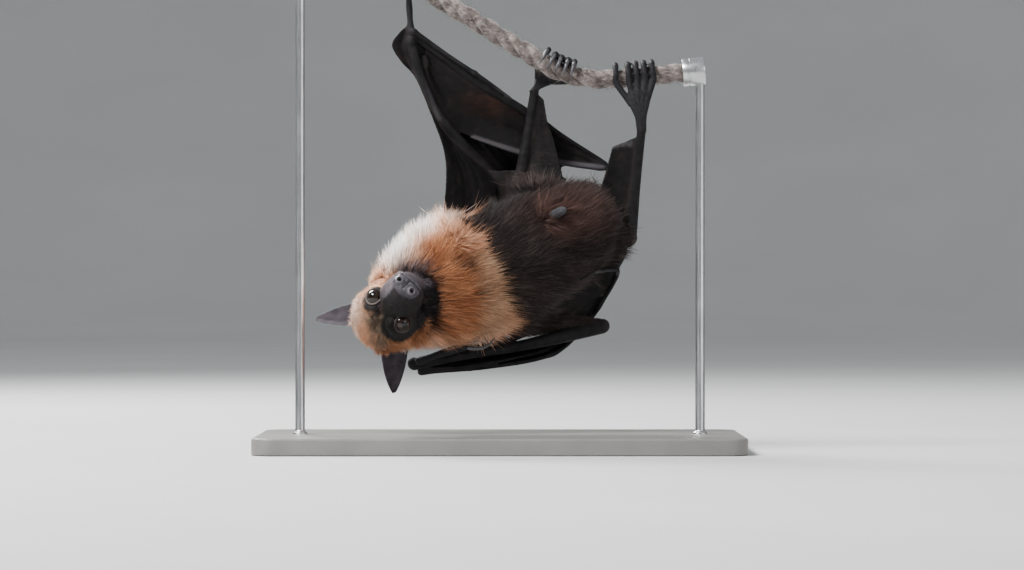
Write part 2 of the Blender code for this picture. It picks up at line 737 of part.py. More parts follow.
def make_tail_web(side, neighbours):
    """One half of the narrow web along the inside of the legs."""
    if side == "left":
        leg = [(22.5, 12.5, 219), (18.5, 16.0, 198), (15.0, 19.0, 180), (20.0, 17, 166)]
        free = [(28.2, 11.0, 216), (29.6, 11.0, 203), (33.0, 10.5, 194), (42.0, 8, 170)]
    else:
        leg = [(87.0, -8.0, 190), (85.6, -4.5, 174), (84.0, -0.5, 157), (80.0, 4.0, 143)]
        free = [(68.4, -5.0, 186.0), (65.8, -2.5, 174), (62.5, 0.5, 163), (60.0, 3, 150)]
    return cut_by(sheet(leg, free, columns=5, rows=2, billow=(0, 2, 0), inset=(3.8, 0)), neighbours)


# ---------------------------------------------------------------- putting it together


def main():
    clear_scene()
    dark_fur = material("dark_fur", (0.035, 0.024, 0.02), 0.8)
    gold_fur = material("gold_fur", (0.62, 0.33, 0.14), 0.85)
    black_skin = material("black_skin", (0.03, 0.027, 0.028), 0.55)
    bare_grey = material("bare_grey", (0.12, 0.12, 0.13), 0.5)
    eye_brown = material("eye_brown", (0.035, 0.02, 0.015), 0.08)
    horn = material("horn", (0.09, 0.085, 0.09), 0.35)
    rope_fibre = material("rope_fibre", (0.34, 0.28, 0.25), 0.95)
    steel = material("steel", (0.55, 0.55, 0.56), 0.32, 1.0)
    base_paint = material("base_paint", (0.20, 0.19, 0.18), 0.5)

    def keep(name, mesh, finish):
        add_object(name, mesh, finish)
        return mesh

    rope = keep("perch_rope", make_rope(), rope_fibre)
    keep("stand_base", make_base(), base_paint)
    for side, name in ((-1, "left"), (1, "right")):
        cap = keep(f"stand_cap_{name}", make_rope_cap(side, rope), steel)
        keep(f"stand_rod_{name}", make_rod(side, cap), steel)

    eyes = [keep(f"eye_{name}", make_eye(way), eye_brown) for name, way in (("left", 1), ("right", -1))]
    head = keep("head", make_head(eyes), gold_fur)
    trunk = keep("trunk", make_trunk(), dark_fur)
    neck = keep("neck", make_neck(head, eyes), gold_fur)
    keep("sheath", make_sheath(trunk), bare_grey)
    for name, way in (("left", 1), ("right", -1)):
        keep(f"ear_{name}", cut_by(make_ear(way, head), [neck]), black_skin)

    body = [trunk, neck, head]
    for side in ("left", "right"):
        shin = keep(f"shin_{side}", make_shin(side), black_skin)
        thigh = keep(f"thigh_{side}", make_thigh(side, trunk, shin), dark_fur)
        foot, claws = make_foot(side, shin)
        keep(f"foot_{side}", foot, black_skin)
        for number, claw in enumerate(claws, 1):
            keep(f"claw_{side}_{number}", claw, horn)

        forearm = keep(f"forearm_{side}", cut_by(make_forearm(side), body), black_skin)
        arm = keep(f"upper_arm_{side}", make_upper_arm(side, [*body, forearm]), dark_fur)
        thumb, claw = make_thumb(side, [forearm, neck])
        keep(f"thumb_{side}", thumb, black_skin)
        keep(f"thumb_claw_{side}", claw, horn)

        solid = [*body, thigh, shin, foot, forearm, arm, thumb]
        fingers = []
        for number in (3, 2, 4, 5):
            finger = make_finger(side, number, [*solid, *fingers])
            fingers.append(keep(f"finger_{number}_{side}", finger, black_skin))
        solid += fingers

        def web(name, mesh):
            solid.append(keep(f"{name}_{side}", mesh, black_skin))

        web("propatagium", make_propatagium(side, solid))
        web("web_fold", make_fold_web(side, solid))
        if side == "left":
            web("web_3_4", finger_web(side, 3, 4, (0.12, 0.9), (0, 1.5, 0), solid))
            web("web_4_5", finger_web(side, 4, 5, (0.14, 0.95), (0, 1.5, 0), solid))
            web("arm_web", make_arm_web(solid))
        web("flank_web", make_flank_web(side, solid))
        web("tail_web", make_tail_web(side, solid))


main()
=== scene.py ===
import math

import bmesh
import bpy
import numpy as np
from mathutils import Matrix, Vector
from mathutils.bvhtree import BVHTree


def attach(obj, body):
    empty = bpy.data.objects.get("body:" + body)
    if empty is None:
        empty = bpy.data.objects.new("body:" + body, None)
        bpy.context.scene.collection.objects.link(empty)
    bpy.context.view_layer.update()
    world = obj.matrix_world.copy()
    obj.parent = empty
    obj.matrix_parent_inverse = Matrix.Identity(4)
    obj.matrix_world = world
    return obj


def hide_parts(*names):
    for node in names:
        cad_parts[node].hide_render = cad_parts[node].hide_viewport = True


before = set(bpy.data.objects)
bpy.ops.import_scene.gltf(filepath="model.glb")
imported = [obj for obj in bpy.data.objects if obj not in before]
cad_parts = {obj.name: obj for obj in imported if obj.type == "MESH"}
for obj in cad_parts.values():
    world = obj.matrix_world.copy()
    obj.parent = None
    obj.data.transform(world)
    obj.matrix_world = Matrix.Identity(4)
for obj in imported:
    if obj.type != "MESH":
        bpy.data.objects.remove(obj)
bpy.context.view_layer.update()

# ---------------------------------------------------------------- Camera, floor and lights
# A long lens stands level with the bat and looks at its belly side. A pale floor and three soft lamps:
# one high on the left, one behind it for the rim of the coat, and a weak one on the right.
VIEW_CENTRE = Vector((0.0074, 0, 0.1023))
VIEW_DISTANCE = 2.5
VIEW_WIDTH = 0.635
SENSOR = 36.0

camera = bpy.data.objects.new("camera", bpy.data.cameras.new("camera"))
bpy.context.scene.collection.objects.link(camera)
camera.data.sensor_width = SENSOR
camera.data.lens = SENSOR * VIEW_DISTANCE / VIEW_WIDTH
camera.data.clip_end = 60
camera.location = VIEW_CENTRE + Vector((0, -VIEW_DISTANCE, 0))
camera.rotation_euler = (math.radians(90), 0, 0)
bpy.context.scene.camera = camera


def added(name, mesh, material):
    """The mesh as a piece of the scene, smooth shaded, with its material."""
    piece = bpy.data.objects.new(name, mesh)
    bpy.context.scene.collection.objects.link(piece)
    mesh.materials.clear()
    mesh.materials.append(material)
    mesh.shade_smooth()
    return piece


def mesh_of(name, places, faces):
    """A mesh from arrays: places in metres, and faces that all have the same number of corners."""
    mesh = bpy.data.meshes.new(name)
    mesh.vertices.add(len(places))
    mesh.vertices.foreach_set("co", np.asarray(places, np.float32).ravel())
    mesh.loops.add(faces.size)
    mesh.loops.foreach_set("vertex_index", np.asarray(faces, np.int32).ravel())
    mesh.polygons.add(len(faces))
    mesh.polygons.foreach_set("loop_start", np.arange(0, faces.size, faces.shape[1], dtype=np.int32))
    mesh.update(calc_edges=True)
    return mesh


def mixed_mesh(name, places, faces):
    """A mesh from places and faces that have any number of corners."""
    mesh = bpy.data.meshes.new(name)
    mesh.from_pydata(places.tolist(), [], faces)
    return mesh


class Finish:
    """A material built up from nodes, with the shader's own sockets set by name."""

    def __init__(self, name, **sockets):
        self.material = bpy.data.materials.new(name)
        self.material.use_nodes = True
        self.tree = self.material.node_tree
        self.shader = self.tree.nodes["Principled BSDF"]
        for socket, value in sockets.items():
            self.shader.inputs[socket.replace("_", " ")].default_value = value

    def node(self, kind, inputs=None, **settings):
        """A new node. An input is another node's output, which is linked to it, or a plain value."""
        made = self.tree.nodes.new("ShaderNode" + kind)
        for key, value in settings.items():
            setattr(made, key, value)
        for key, value in (inputs or {}).items():
            if isinstance(value, bpy.types.NodeSocket):
                self.tree.links.new(value, made.inputs[key])
            else:
                made.inputs[key].default_value = value
        return made

    def read(self, name, output="Vector"):
        """A value that the mesh stores under this name."""
        return self.node("Attribute", attribute_name=name).outputs[output]

    def place(self):
        return self.node("TexCoord").outputs["Object"]

    def noise(self, scale, detail=3.0, at=None, stretch=None):
        """Soft cloudy noise, fine where scale is large, drawn out along an axis where stretch is small."""
        where = at or self.place()
        if stretch:
            where = self.node("Mapping", {0: where, "Scale": stretch}).outputs[0]
        return self.node("TexNoise", {"Vector": where, "Scale": scale, "Detail": detail}).outputs[0]

    def ramp(self, value, stops):
        """A colour taken from stops of (position, colour)."""
        made = self.node("ValToRGB", {0: value})
        marks = made.color_ramp.elements
        while len(marks) < len(stops):
            marks.new(0.5)
        for mark, (position, colour) in zip(marks, stops):
            mark.position = position
            mark.color = (*colour, 1)
        return made.outputs[0]

    def fit(self, value, low, high, to_low=0.0, to_high=1.0):
        """A value from low to high made to run from to_low to to_high, and held at both ends."""
        return self.node("MapRange", {0: value, 1: low, 2: high, 3: to_low, 4: to_high}).outputs[0]

    def times(self, first, second):
        return self.node("Math", {0: first, 1: second}, operation="MULTIPLY").outputs[0]

    def plus(self, first, second):
        return self.node("Math", {0: first, 1: second}, operation="ADD").outputs[0]

    def mix(self, share, first, second, how="MIX"):
        """The second colour over the first, by a share from 0 to 1."""
        ends = [(*colour, 1) if isinstance(colour, tuple) else colour for colour in (first, second)]
        inputs = {0: share, 6: ends[0], 7: ends[1]}
        return self.node("Mix", inputs, data_type="RGBA", blend_type=how, clamp_factor=True).outputs[2]

    def link(self, socket, value):
        self.tree.links.new(value, self.shader.inputs[socket])

    def bump(self, *layers):
        """Layers of (height, strength, distance in metres), the coarsest first."""
        normal = None
        for height, strength, distance in layers:
            inputs = {"Height": height, "Strength": strength, "Distance": distance}
            if normal:
                inputs["Normal"] = normal
            normal = self.node("Bump", inputs).outputs[0]
        self.link("Normal", normal)


FLOOR_SHEET = 3.5
FLOOR_FLAT = 5.0
FLOOR_CURVE = 3.0
FLOOR_TOP = 5.0
FLOOR_SIDES = 96
FLOOR_DROP = 0.0005
SKY = (0.80, 0.84, 0.88, 1)
SKY_STRENGTH = 0.56
LAMP_AIM = Vector((0, 0, 0.15))
LAMPS = [
    ("lamp_high_left", (-0.95, -0.85, 1.5), 0.6, 70),
    ("lamp_behind", (-0.75, 1.05, 1.15), 0.6, 48),
    ("lamp_right", (1.3, -1.1, 0.7), 0.9, 7),
]


def make_floor():
    """A round sheet of paper, flat under the stand and swept up to a wall all round it."""
    outline = [(FLOOR_SHEET, 0.0), (FLOOR_FLAT, 0.0)]
    for turn in range(10, 91, 10):
        angle = math.radians(turn)
        out = FLOOR_FLAT + FLOOR_CURVE * math.sin(angle)
        outline.append((out, FLOOR_CURVE - FLOOR_CURVE * math.cos(angle)))
    outline.append((FLOOR_FLAT + FLOOR_CURVE, FLOOR_TOP))
    around = np.linspace(0, 2 * math.pi, FLOOR_SIDES, endpoint=False)
    places = [np.array([(0, 0, -FLOOR_DROP)])]
    for radius, height in outline:
        level = np.full(FLOOR_SIDES, height - FLOOR_DROP)
        places.append(np.stack([radius * np.cos(around), radius * np.sin(around), level], 1))
    faces = [(0, 1 + k, 1 + (k + 1) % FLOOR_SIDES) for k in range(FLOOR_SIDES)]
    for ring in range(len(outline) - 1):
        start = 1 + FLOOR_SIDES * ring
        above = start + FLOOR_SIDES
        for k in range(FLOOR_SIDES):
            n = (k + 1) % FLOOR_SIDES
            faces.append((start + k, above + k, above + n, start + n))
    return mixed_mesh("floor", np.vstack(places), faces)


floor_finish = Finish("floor_paper", Roughness=0.9)
paper = floor_finish.ramp(floor_finish.noise(3.0), [(0.3, (0.62, 0.62, 0.61)), (0.7, (0.66, 0.66, 0.65))])
floor_finish.link("Base Color", paper)
floor = added("floor", make_floor(), floor_finish.material)

world = bpy.data.worlds.new("studio")
bpy.context.scene.world = world
world.use_nodes = True
world.node_tree.nodes["Background"].inputs[0].default_value = SKY
world.node_tree.nodes["Background"].inputs[1].default_value = SKY_STRENGTH
for name, place, size, power in LAMPS:
    lamp = bpy.data.objects.new(name, bpy.data.lights.new(name, "AREA"))
    bpy.context.scene.collection.objects.link(lamp)
    lamp.location = place
    lamp.rotation_euler = (Vector(place) - LAMP_AIM).to_track_quat("Z", "Y").to_euler()
    lamp.data.size = size
    lamp.data.energy = power

# ---------------------------------------------------------------- Rope perch
# A short cut length of weathered natural fibre rope: three strands laid round each other, each spun
# from yarns the other way, with loose ends of fibre standing out all along it.
MM = 0.001
ROPE_ROUTE = [
    (-124, 0, 332.0),
    (-77, 0, 303.4),
    (-29, 0, 274.2),
    (16, 0, 246.8),
    (38, 0, 234.4),
    (62, 0, 230.0),
    (93, 0, 232.0),
    (124, 0, 235.0),
]
ROPE_LAY = 41.0
STRAND_RADIUS = 3.0
STRAND_OFFSET = 2.95
STRAND_SIDES = 28
ROPE_STEPS = 520
YARNS = 7
YARN_LAY = 26.0
YARN_RELIEF = 0.055
FIBRES = 2600
FIBRE_ROOT = 5.2
FIBRE_SAG = (0, 0, -0.25)


def between(a, b, c, d, t):
    """A smooth step from b to c, led by the values before and after them."""
    bend = 2 * a - 5 * b + 4 * c - d
    return 0.5 * (2 * b + (c - a) * t + bend * t * t + (3 * b - a - 3 * c + d) * t**3)


def smooth(points, count):
    """count places on a smooth curve through the given points, shared out evenly by length."""
    rows = np.array(points, float)
    ends = np.vstack([2 * rows[0] - rows[1], rows, 2 * rows[-1] - rows[-2]])
    spans = np.linalg.norm(np.diff(rows, axis=0), axis=1)
    starts = np.concatenate([[0], np.cumsum(spans)])
    at = np.linspace(0, starts[-1], count)
    i = np.clip(np.searchsorted(starts, at, side="right") - 1, 0, len(spans) - 1)
    t = np.clip((at - starts[i]) / spans[i], 0, 1)[:, None]
    return between(ends[i], ends[i + 1], ends[i + 2], ends[i + 3], t)


def unit(vectors):
    """Vectors of the same way and a length of 1."""
    return vectors / np.maximum(np.linalg.norm(vectors, axis=-1, keepdims=True), 1e-12)


def frames(path):
    """Along a path: its direction, and two directions square to it that don't twist."""
    ways = unit(np.gradient(path, axis=0))
    side = np.cross(ways[0], (0.0, 1.0, 0.0) if abs(ways[0][1]) < 0.9 else (1.0, 0.0, 0.0))
    sides = []
    for way in ways:
        side = unit(side - way * side.dot(way))
        sides.append(side)
    sides = np.array(sides)
    return ways, sides, np.cross(ways, sides)


def ring_faces(rings, sides):
    """The quads between rings of points that follow each other."""
    k = np.arange(sides)
    start = (np.arange(rings - 1) * sides)[:, None]
    after = (k + 1) % sides
    corners = [start + k, start + after, start + sides + after, start + sides + k]
    return np.stack(corners, -1).reshape(-1, 4)


SPIKE_BEND = 0.52
SPIKE_WAIST = 0.72


def spike_ring(ways, widths):
    """From the root of each hair to the three corners of its foot, square to its way."""
    across = unit(np.cross(ways, np.roll(ways, 1, axis=1) + (0.31, 0.17, 0.53)))
    deep = np.cross(ways, across)
    turns = [2 * math.pi * k / 3 for k in range(3)]
    half = (widths * 0.5)[:, None]
    return [(across * math.cos(turn) + deep * math.sin(turn)) * half for turn in turns]


def spikes(roots, first, second, lengths, widths):
    """Tapered three-sided hairs of two bent halves. Places and faces, seven places to a hair."""
    count = len(roots)
    middle = roots + first * (lengths * SPIKE_BEND)[:, None]
    places = np.empty((count, 7, 3))
    for k, out in enumerate(spike_ring(first, widths)):
        places[:, k] = roots + out
        places[:, 3 + k] = middle + out * SPIKE_WAIST
    places[:, 6] = middle + second * (lengths * (1 - SPIKE_BEND))[:, None]
    one = [(0, 2, 1)]
    for k in range(3):
        n = (k + 1) % 3
        one += [(k, n, 3 + n), (k, 3 + n, 3 + k), (3 + k, 3 + n, 6)]
    faces = (np.arange(count) * 7)[:, None, None] + np.array(one)
    return places.reshape(-1, 3), faces.reshape(-1, 3)


def strand_form(strand, route, length, side, deep, rng):
    """One strand laid round the rope's route, with the yarns showing along it as low ribs."""
    around = np.linspace(0, 2 * math.pi, STRAND_SIDES, endpoint=False)
    turn = 2 * math.pi * (length / ROPE_LAY + strand / 3)
    out = side * np.cos(turn)[:, None] + deep * np.sin(turn)[:, None]
    path = route + out * STRAND_OFFSET
    across = np.cross(unit(np.gradient(path, axis=0)), out)
    swell = 1 + 0.03 * np.sin(length / 9 + strand * 2) + 0.02 * np.sin(length / 3.1 + strand)
    yarn_turn = around[None] + 2 * math.pi * length[:, None] / YARN_LAY
    yarn = 1 + YARN_RELIEF * np.abs(np.cos((YARNS * yarn_turn) / 2))
    radius = STRAND_RADIUS * swell[:, None] * yarn * (1 + 0.008 * rng.standard_normal(yarn.shape))
    toward = out[:, None] * np.cos(around)[None, :, None]
    toward = toward + across[:, None] * np.sin(around)[None, :, None]
    return (path[:, None] + radius[..., None] * toward).reshape(-1, 3)


def loose_fibres(route, side, deep, rng):
    """Ends of fibre that have worked loose and stand out along the rope."""
    at = rng.integers(12, len(route) - 12, FIBRES)
    angle = rng.uniform(0, 2 * math.pi, FIBRES)
    out = side[at] * np.cos(angle)[:, None] + deep[at] * np.sin(angle)[:, None]
    along = unit(np.gradient(route, axis=0))[at] * rng.choice([-1, 1], FIBRES)[:, None]
    lean = rng.uniform(0.15, 1.0, FIBRES)[:, None]
    first = unit(out * lean + along + rng.normal(0, 0.35, (FIBRES, 3)))
    second = unit(first + out * 0.3 + rng.normal(0, 0.5, (FIBRES, 3)) + FIBRE_SAG)
    lengths = rng.gamma(3.0, 1.1, FIBRES) + 1.2
    return spikes(route[at] + out * FIBRE_ROOT, first, second, lengths, rng.uniform(0.07, 0.14, FIBRES))


def make_rope():
    """Three strands and the loose fibres on them, as one mesh of triangles."""
    rng = np.random.default_rng(11)
    route = smooth(ROPE_ROUTE, ROPE_STEPS)
    length = np.concatenate([[0], np.cumsum(np.linalg.norm(np.diff(route, axis=0), axis=1))])
    _, side, deep = frames(route)
    places = [strand_form(strand, route, length, side, deep, rng) for strand in range(3)]
    each = ROPE_STEPS * STRAND_SIDES
    quads = np.vstack([ring_faces(ROPE_STEPS, STRAND_SIDES) + strand * each for strand in range(3)])
    tris = np.vstack([quads[:, [0, 1, 2]], quads[:, [0, 2, 3]]])
    fibre_places, fibre_faces = loose_fibres(route, side, deep, rng)
    places.append(fibre_places)
    faces = np.vstack([tris, fibre_faces + 3 * each])
    return mesh_of("rope", np.vstack(places) * MM, faces)


rope_finish = Finish("rope_fibre", Roughness=0.92, Specular_IOR_Level=0.2, Sheen_Weight=0.25)
rope_shades = [
    (0.30, (0.038, 0.028, 0.025)),
    (0.46, (0.095, 0.075, 0.068)),
    (0.60, (0.19, 0.158, 0.147)),
    (0.75, (0.32, 0.275, 0.26)),
]
grey_brown = rope_finish.ramp(rope_finish.noise(160, 5), rope_shades)
pale_streaks = rope_finish.fit(rope_finish.noise(900, 2, stretch=(0.45, 1, 0.8)), 0.5, 0.72, 0, 0.4)
rope_finish.link("Base Color", rope_finish.mix(pale_streaks, grey_brown, (0.47, 0.41, 0.39)))
rope_finish.bump((rope_finish.noise(1400, 3, stretch=(0.35, 1, 0.7)), 0.7, 0.0004))
rope = added("rope", make_rope(), rope_finish.material)
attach(rope, "root")
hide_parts("perch_rope")

# ---------------------------------------------------------------- Display stand
# A flat steel plate with a powder coat, and two ground steel rods let into it. The rope's ends are
# glued into a turned steel cap on each rod.
BASE = (300.0, 164.0, 10.0)
BASE_CORNER = 14.0
BASE_EDGE = 1.5
ROD_RADIUS = 3.0
ROD_FOOT = [(-0.2, 4.6), (0.5, 4.6), (1.0, 4.3), (1.6, 3.5)]
ROD_BELOW_ROPE = 5.0
CAP_RADIUS = 8.6
CAP_EDGE = 0.8
CAP_CUTS = [
    (-3, CAP_EDGE),
    (-2.8, 0.25),
    (-2.3, 0),
    (6.2, 0),
    (6.5, 0.45),
    (7.3, 0.45),
    (7.6, 0),
    (10.4, 0),
    (10.85, 0.25),
    (11, CAP_EDGE),
    (11, 2.0),
    (9.5, 2.3),
]


def make_base():
    """The plate, with round corners and a soft edge round its top."""
    work = bmesh.new()
    bmesh.ops.create_cube(work, size=1)
    for vert in work.verts:
        vert.co = Vector((vert.co.x * BASE[0], vert.co.y * BASE[1], (vert.co.z + 0.5) * BASE[2])) * MM
    upright = [e for e in work.edges if abs(e.verts[0].co.z - e.verts[1].co.z) > MM]
    bmesh.ops.bevel(work, geom=upright, offset=BASE_CORNER * MM, segments=16, affect="EDGES", profile=0.5)
    top = [e for e in work.edges if min(v.co.z for v in e.verts) > (BASE[2] - 0.1) * MM]
    bmesh.ops.bevel(work, geom=top, offset=BASE_EDGE * MM, segments=4, affect="EDGES", profile=0.5)
    mesh = bpy.data.meshes.new("stand_plate")
    work.to_mesh(mesh)
    work.free()
    return mesh


def turned(centre, way, outline, sides=48):
    """A piece turned on a lathe. Its outline gives pairs of distance along way and radius, and both
    ends are closed."""
    _, side, deep = frames(np.array([centre, centre + way]))
    around = np.linspace(0, 2 * math.pi, sides, endpoint=False)
    rings = [
        centre + way * s + r * (side[0] * np.cos(around)[:, None] + deep[0] * np.sin(around)[:, None])
        for s, r in outline
    ]
    work = bmesh.new()
    loops = [[work.verts.new(p * MM) for p in ring] for ring in rings]
    for a, b in zip(loops, loops[1:]):
        for k in range(sides):
            n = (k + 1) % sides
            work.faces.new((a[k], a[n], b[n], b[k]))
    work.faces.new(loops[0][::-1])
    work.faces.new(loops[-1])
    bmesh.ops.recalc_face_normals(work, faces=work.faces)
    mesh = bpy.data.meshes.new("turned")
    work.to_mesh(mesh)
    work.free()
    return mesh


powder = Finish("powder_coat", Roughness=0.42, Specular_IOR_Level=0.45)
paint_shades = [(0.3, (0.17, 0.165, 0.155)), (0.7, (0.21, 0.20, 0.19))]
powder.link("Base Color", powder.ramp(powder.noise(35, 4), paint_shades))
powder.bump((powder.noise(1700, 2), 0.25, 0.00025))
ground_steel = Finish("ground_steel", Metallic=1.0, Anisotropic=0.4)
steel_shades = [(0.3, (0.50, 0.50, 0.51)), (0.7, (0.62, 0.62, 0.63))]
ground_steel.link("Base Color", ground_steel.ramp(ground_steel.noise(60, 4), steel_shades))
fine_lines = ground_steel.noise(2400, 2, stretch=(1, 1, 0.02))
ground_steel.link("Roughness", ground_steel.fit(fine_lines, 0.3, 0.7, 0.24, 0.40))
ground_steel.bump((fine_lines, 0.15, 0.0001))

plate = added("stand_plate", make_base(), powder.material)
plate.data.set_sharp_from_angle(angle=math.radians(35))
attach(plate, "root")
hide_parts("stand_base")
rope_ends = {"left": ROPE_ROUTE[:2], "right": ROPE_ROUTE[:-3:-1]}
for name, (end, inward) in rope_ends.items():
    foot = np.array([end[0], 0.0, BASE[2]])
    height = end[2] - BASE[2] - ROD_BELOW_ROPE
    rod_outline = [*ROD_FOOT, (2.6, ROD_RADIUS), (height, ROD_RADIUS)]
    rod_mesh = turned(foot, np.array([0, 0, 1.0]), rod_outline)
    rod = added(f"stand_post_{name}", rod_mesh, ground_steel.material)
    rod.data.set_sharp_from_angle(angle=math.radians(50))
    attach(rod, "root")
    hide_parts(f"stand_rod_{name}")
    way = unit(np.array(inward, float) - end)
    cap_outline = [(at, CAP_RADIUS - cut) for at, cut in CAP_CUTS]
    cap_mesh = turned(np.array(end, float), way, cap_outline)
    cap = added(f"stand_ferrule_{name}", cap_mesh, ground_steel.material)
    cap.data.set_sharp_from_angle(angle=math.radians(40))
    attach(cap, "root")
    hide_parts(f"stand_cap_{name}")

# ---------------------------------------------------------------- Skin
# One skin covers the whole animal. Under the coat it lies deep in the fur. On the face it forms the
# lids, nose, lips and chin, and it runs out bare over the ears, the wings with their bones, and the feet.
EYE_MIDDLE = np.array([-67.9, -41.0, 86.8])
NOSE_WAY = unit(np.array([0.27, -0.86, 0.43]))
LEFT_WAY = np.array([-0.725, 0.11, 0.68])
LEFT_WAY = unit(LEFT_WAY - LEFT_WAY.dot(NOSE_WAY) * NOSE_WAY)
CROWN_WAY = unit(np.cross(NOSE_WAY, LEFT_WAY))
HEAD_AXES = np.array([NOSE_WAY, CROWN_WAY, LEFT_WAY])
TRUNK_LEFT = unit(np.array([-0.5, 0, 0.866]))
BELLY_WAY = np.array([0, -1.0, 0])
SHOULDER = {"left": (-22.9, -12, 134.0), "right": (-8, 3, 82.0)}
ELBOW = {"left": (18, 42, 150.0), "right": (64, 27, 76.5)}
WRIST = {"left": (-55.8, 7, 253.0), "right": (-53.3, -3, 53.5)}
HIP = {"left": (34, 6, 151.0), "right": (52, 5, 140.0)}
KNEE = {"left": (13, 20, 168.0), "right": (80.4, 7, 131.5)}
ANKLE = {"left": (21.5, 12.5, 224.0), "right": (87.4, -9.5, 198.0)}
HEAD_VOXEL = 0.36
BODY_VOXEL = 0.6
BODY_KEPT = 0.30
WEB_THICKNESS = 0.9
FINE_PLEAT = 0.12


def head_place(nose, crown, left):
    return EYE_MIDDLE + NOSE_WAY * nose + CROWN_WAY * crown + LEFT_WAY * left


def blend_rows(rows, count):
    """Rows of numbers, resampled smoothly to count rows."""
    rows = np.array(rows, float)
    last = len(rows) - 1
    at = np.linspace(0, last, count)
    i = np.minimum(at.astype(int), last - 1)
    near = [rows[np.clip(i + k, 0, last)] for k in (-1, 0, 1, 2)]
    return between(*near, (at - i)[:, None])


def closed_form(rings):
    """Places and faces of a closed form through rings of points."""
    count, sides = rings.shape[:2]
    faces = ring_faces(count, sides).tolist()
    faces.append(list(range(sides - 1, -1, -1)))
    faces.append(list(range((count - 1) * sides, count * sides)))
    return rings.reshape(-1, 3), faces


LIMB_DOME = np.array([0.97, 0.8, 0.5])


def limb(points, radii, count, sides, flat=1.0):
    """A round limb, toe or bone with domed ends. flat squeezes it across its bend."""
    path = smooth(points, count)
    width = blend_rows([(r,) for r in radii], count)[:, 0]
    way, side, deep = frames(path)
    lift = np.sqrt(1 - LIMB_DOME**2)
    before = path[0] - way[0] * (width[0] * LIMB_DOME[:, None])
    beyond = path[-1] + way[-1] * (width[-1] * LIMB_DOME[::-1, None])
    path = np.vstack([before, path, beyond])
    width = np.concatenate([width[0] * lift, width, width[-1] * lift[::-1]])
    side = np.vstack([[side[0]] * 3, side, [side[-1]] * 3])
    deep = np.vstack([[deep[0]] * 3, deep, [deep[-1]] * 3])
    around = np.linspace(0, 2 * math.pi, sides, endpoint=False)
    toward = side[:, None] * np.cos(around)[None, :, None] * flat
    toward = toward + deep[:, None] * np.sin(around)[None, :, None]
    return closed_form(path[:, None] + width[:, None, None] * toward)


def oval_loft(stations, side, front, count, sides, coats=None):
    """A body form through oval sections. A station is (centre, left, right, front, back), and coats
    gives how deep the coat stands over each, which the skin lies in by."""
    rows = []
    for index, (centre, *reach) in enumerate(stations):
        sunk = coats[index] if coats else 0
        rows.append((*centre, *np.maximum(np.array(reach) - sunk, 2.5)))
    table = blend_rows(rows, count)
    around = np.linspace(0, 2 * math.pi, sides, endpoint=False)
    across, deep = np.cos(around), np.sin(around)
    wide = np.where(across > 0, table[:, 3:4], table[:, 4:5]) * across
    thick = np.where(deep > 0, table[:, 5:6], table[:, 6:7]) * deep
    return closed_form(table[:, None, :3] + wide[..., None] * side + thick[..., None] * front)


def ball(down, around):
    """Places on a round ball of radius 1: down from its pole, and round it."""
    ring = np.sin(down)[:, None]
    level = np.cos(down)[:, None] * np.ones(len(around))
    return np.stack([level, ring * np.cos(around), ring * np.sin(around)], -1)


def egg(centre, radii, axes=HEAD_AXES, sides=24):
    """An egg form with its radii along three axes."""
    down = np.linspace(0.03, math.pi - 0.03, sides // 2)
    shape = ball(down, np.linspace(0, 2 * math.pi, sides, endpoint=False)) * np.array(radii)
    return closed_form(np.asarray(centre) + shape @ np.asarray(axes))


def closed_sheet(top, low):
    """A closed form from the two faces of a thin sheet, each a grid of places, with a wall at the rim."""
    index = np.arange(top.shape[0] * top.shape[1]).reshape(top.shape[:2])
    cell = [index[:-1, :-1], index[1:, :-1], index[1:, 1:], index[:-1, 1:]]
    upper = np.stack(cell, -1).reshape(-1, 4)
    lower = upper[:, ::-1] + index.size
    rim = np.concatenate([index[:, 0], index[-1, 1:], index[-2::-1, -1], index[0, -2:0:-1]])
    ahead = np.roll(rim, -1)
    wall = np.stack([ahead, rim, rim + index.size, ahead + index.size], -1)
    places = np.vstack([top.reshape(-1, 3), low.reshape(-1, 3)])
    return places, np.vstack([upper, lower, wall]).tolist()


def sheet_normals(sheet):
    """The way out of a grid of places, at each of them."""
    return unit(np.cross(np.gradient(sheet, axis=0), np.gradient(sheet, axis=1)))


def web(edge_a, edge_b, columns, rows, billow, pleats, depth):
    """A wing web: a thin closed sheet stretched between two edges, bellied out by billow and folded
    into soft pleats that run along it."""
    a, b = smooth(edge_a, columns + 1), smooth(edge_b, columns + 1)
    t = np.linspace(0, 1, rows + 1)
    along = np.linspace(0, 1, columns + 1)
    sheet = a[:, None] * (1 - t)[None, :, None] + b[:, None] * t[None, :, None]
    held = np.sin(math.pi * t)[None]
    belly = held * np.sin(math.pi * np.minimum(1, 0.15 + 0.85 * along))[:, None]
    sheet = sheet + belly[..., None] * np.array(billow)
    drift = 1.3 * np.sin(3 * along)[:, None]
    fine_drift = 5 * np.sin(2.3 * along + 1)[:, None]
    wave = np.sin(2 * math.pi * pleats * t[None] + drift) * held
    fine_wave = np.sin(2 * math.pi * (3.3 * pleats + 2) * t[None] + fine_drift) * held
    for _ in range(2):
        normal = sheet_normals(sheet)
        sheet = sheet + normal * ((wave * depth + fine_wave * FINE_PLEAT) * 0.5)[..., None]
    return closed_sheet(sheet + normal * WEB_THICKNESS / 2, sheet - normal * WEB_THICKNESS / 2)


def joined(forms):
    """Several closed forms as one list of places and one of faces."""
    places, faces, start = [], [], 0
    for form_places, form_faces in forms:
        places.append(form_places)
        faces += [[i + start for i in face] for face in form_faces]
        start += len(form_places)
    return np.vstack(places), faces


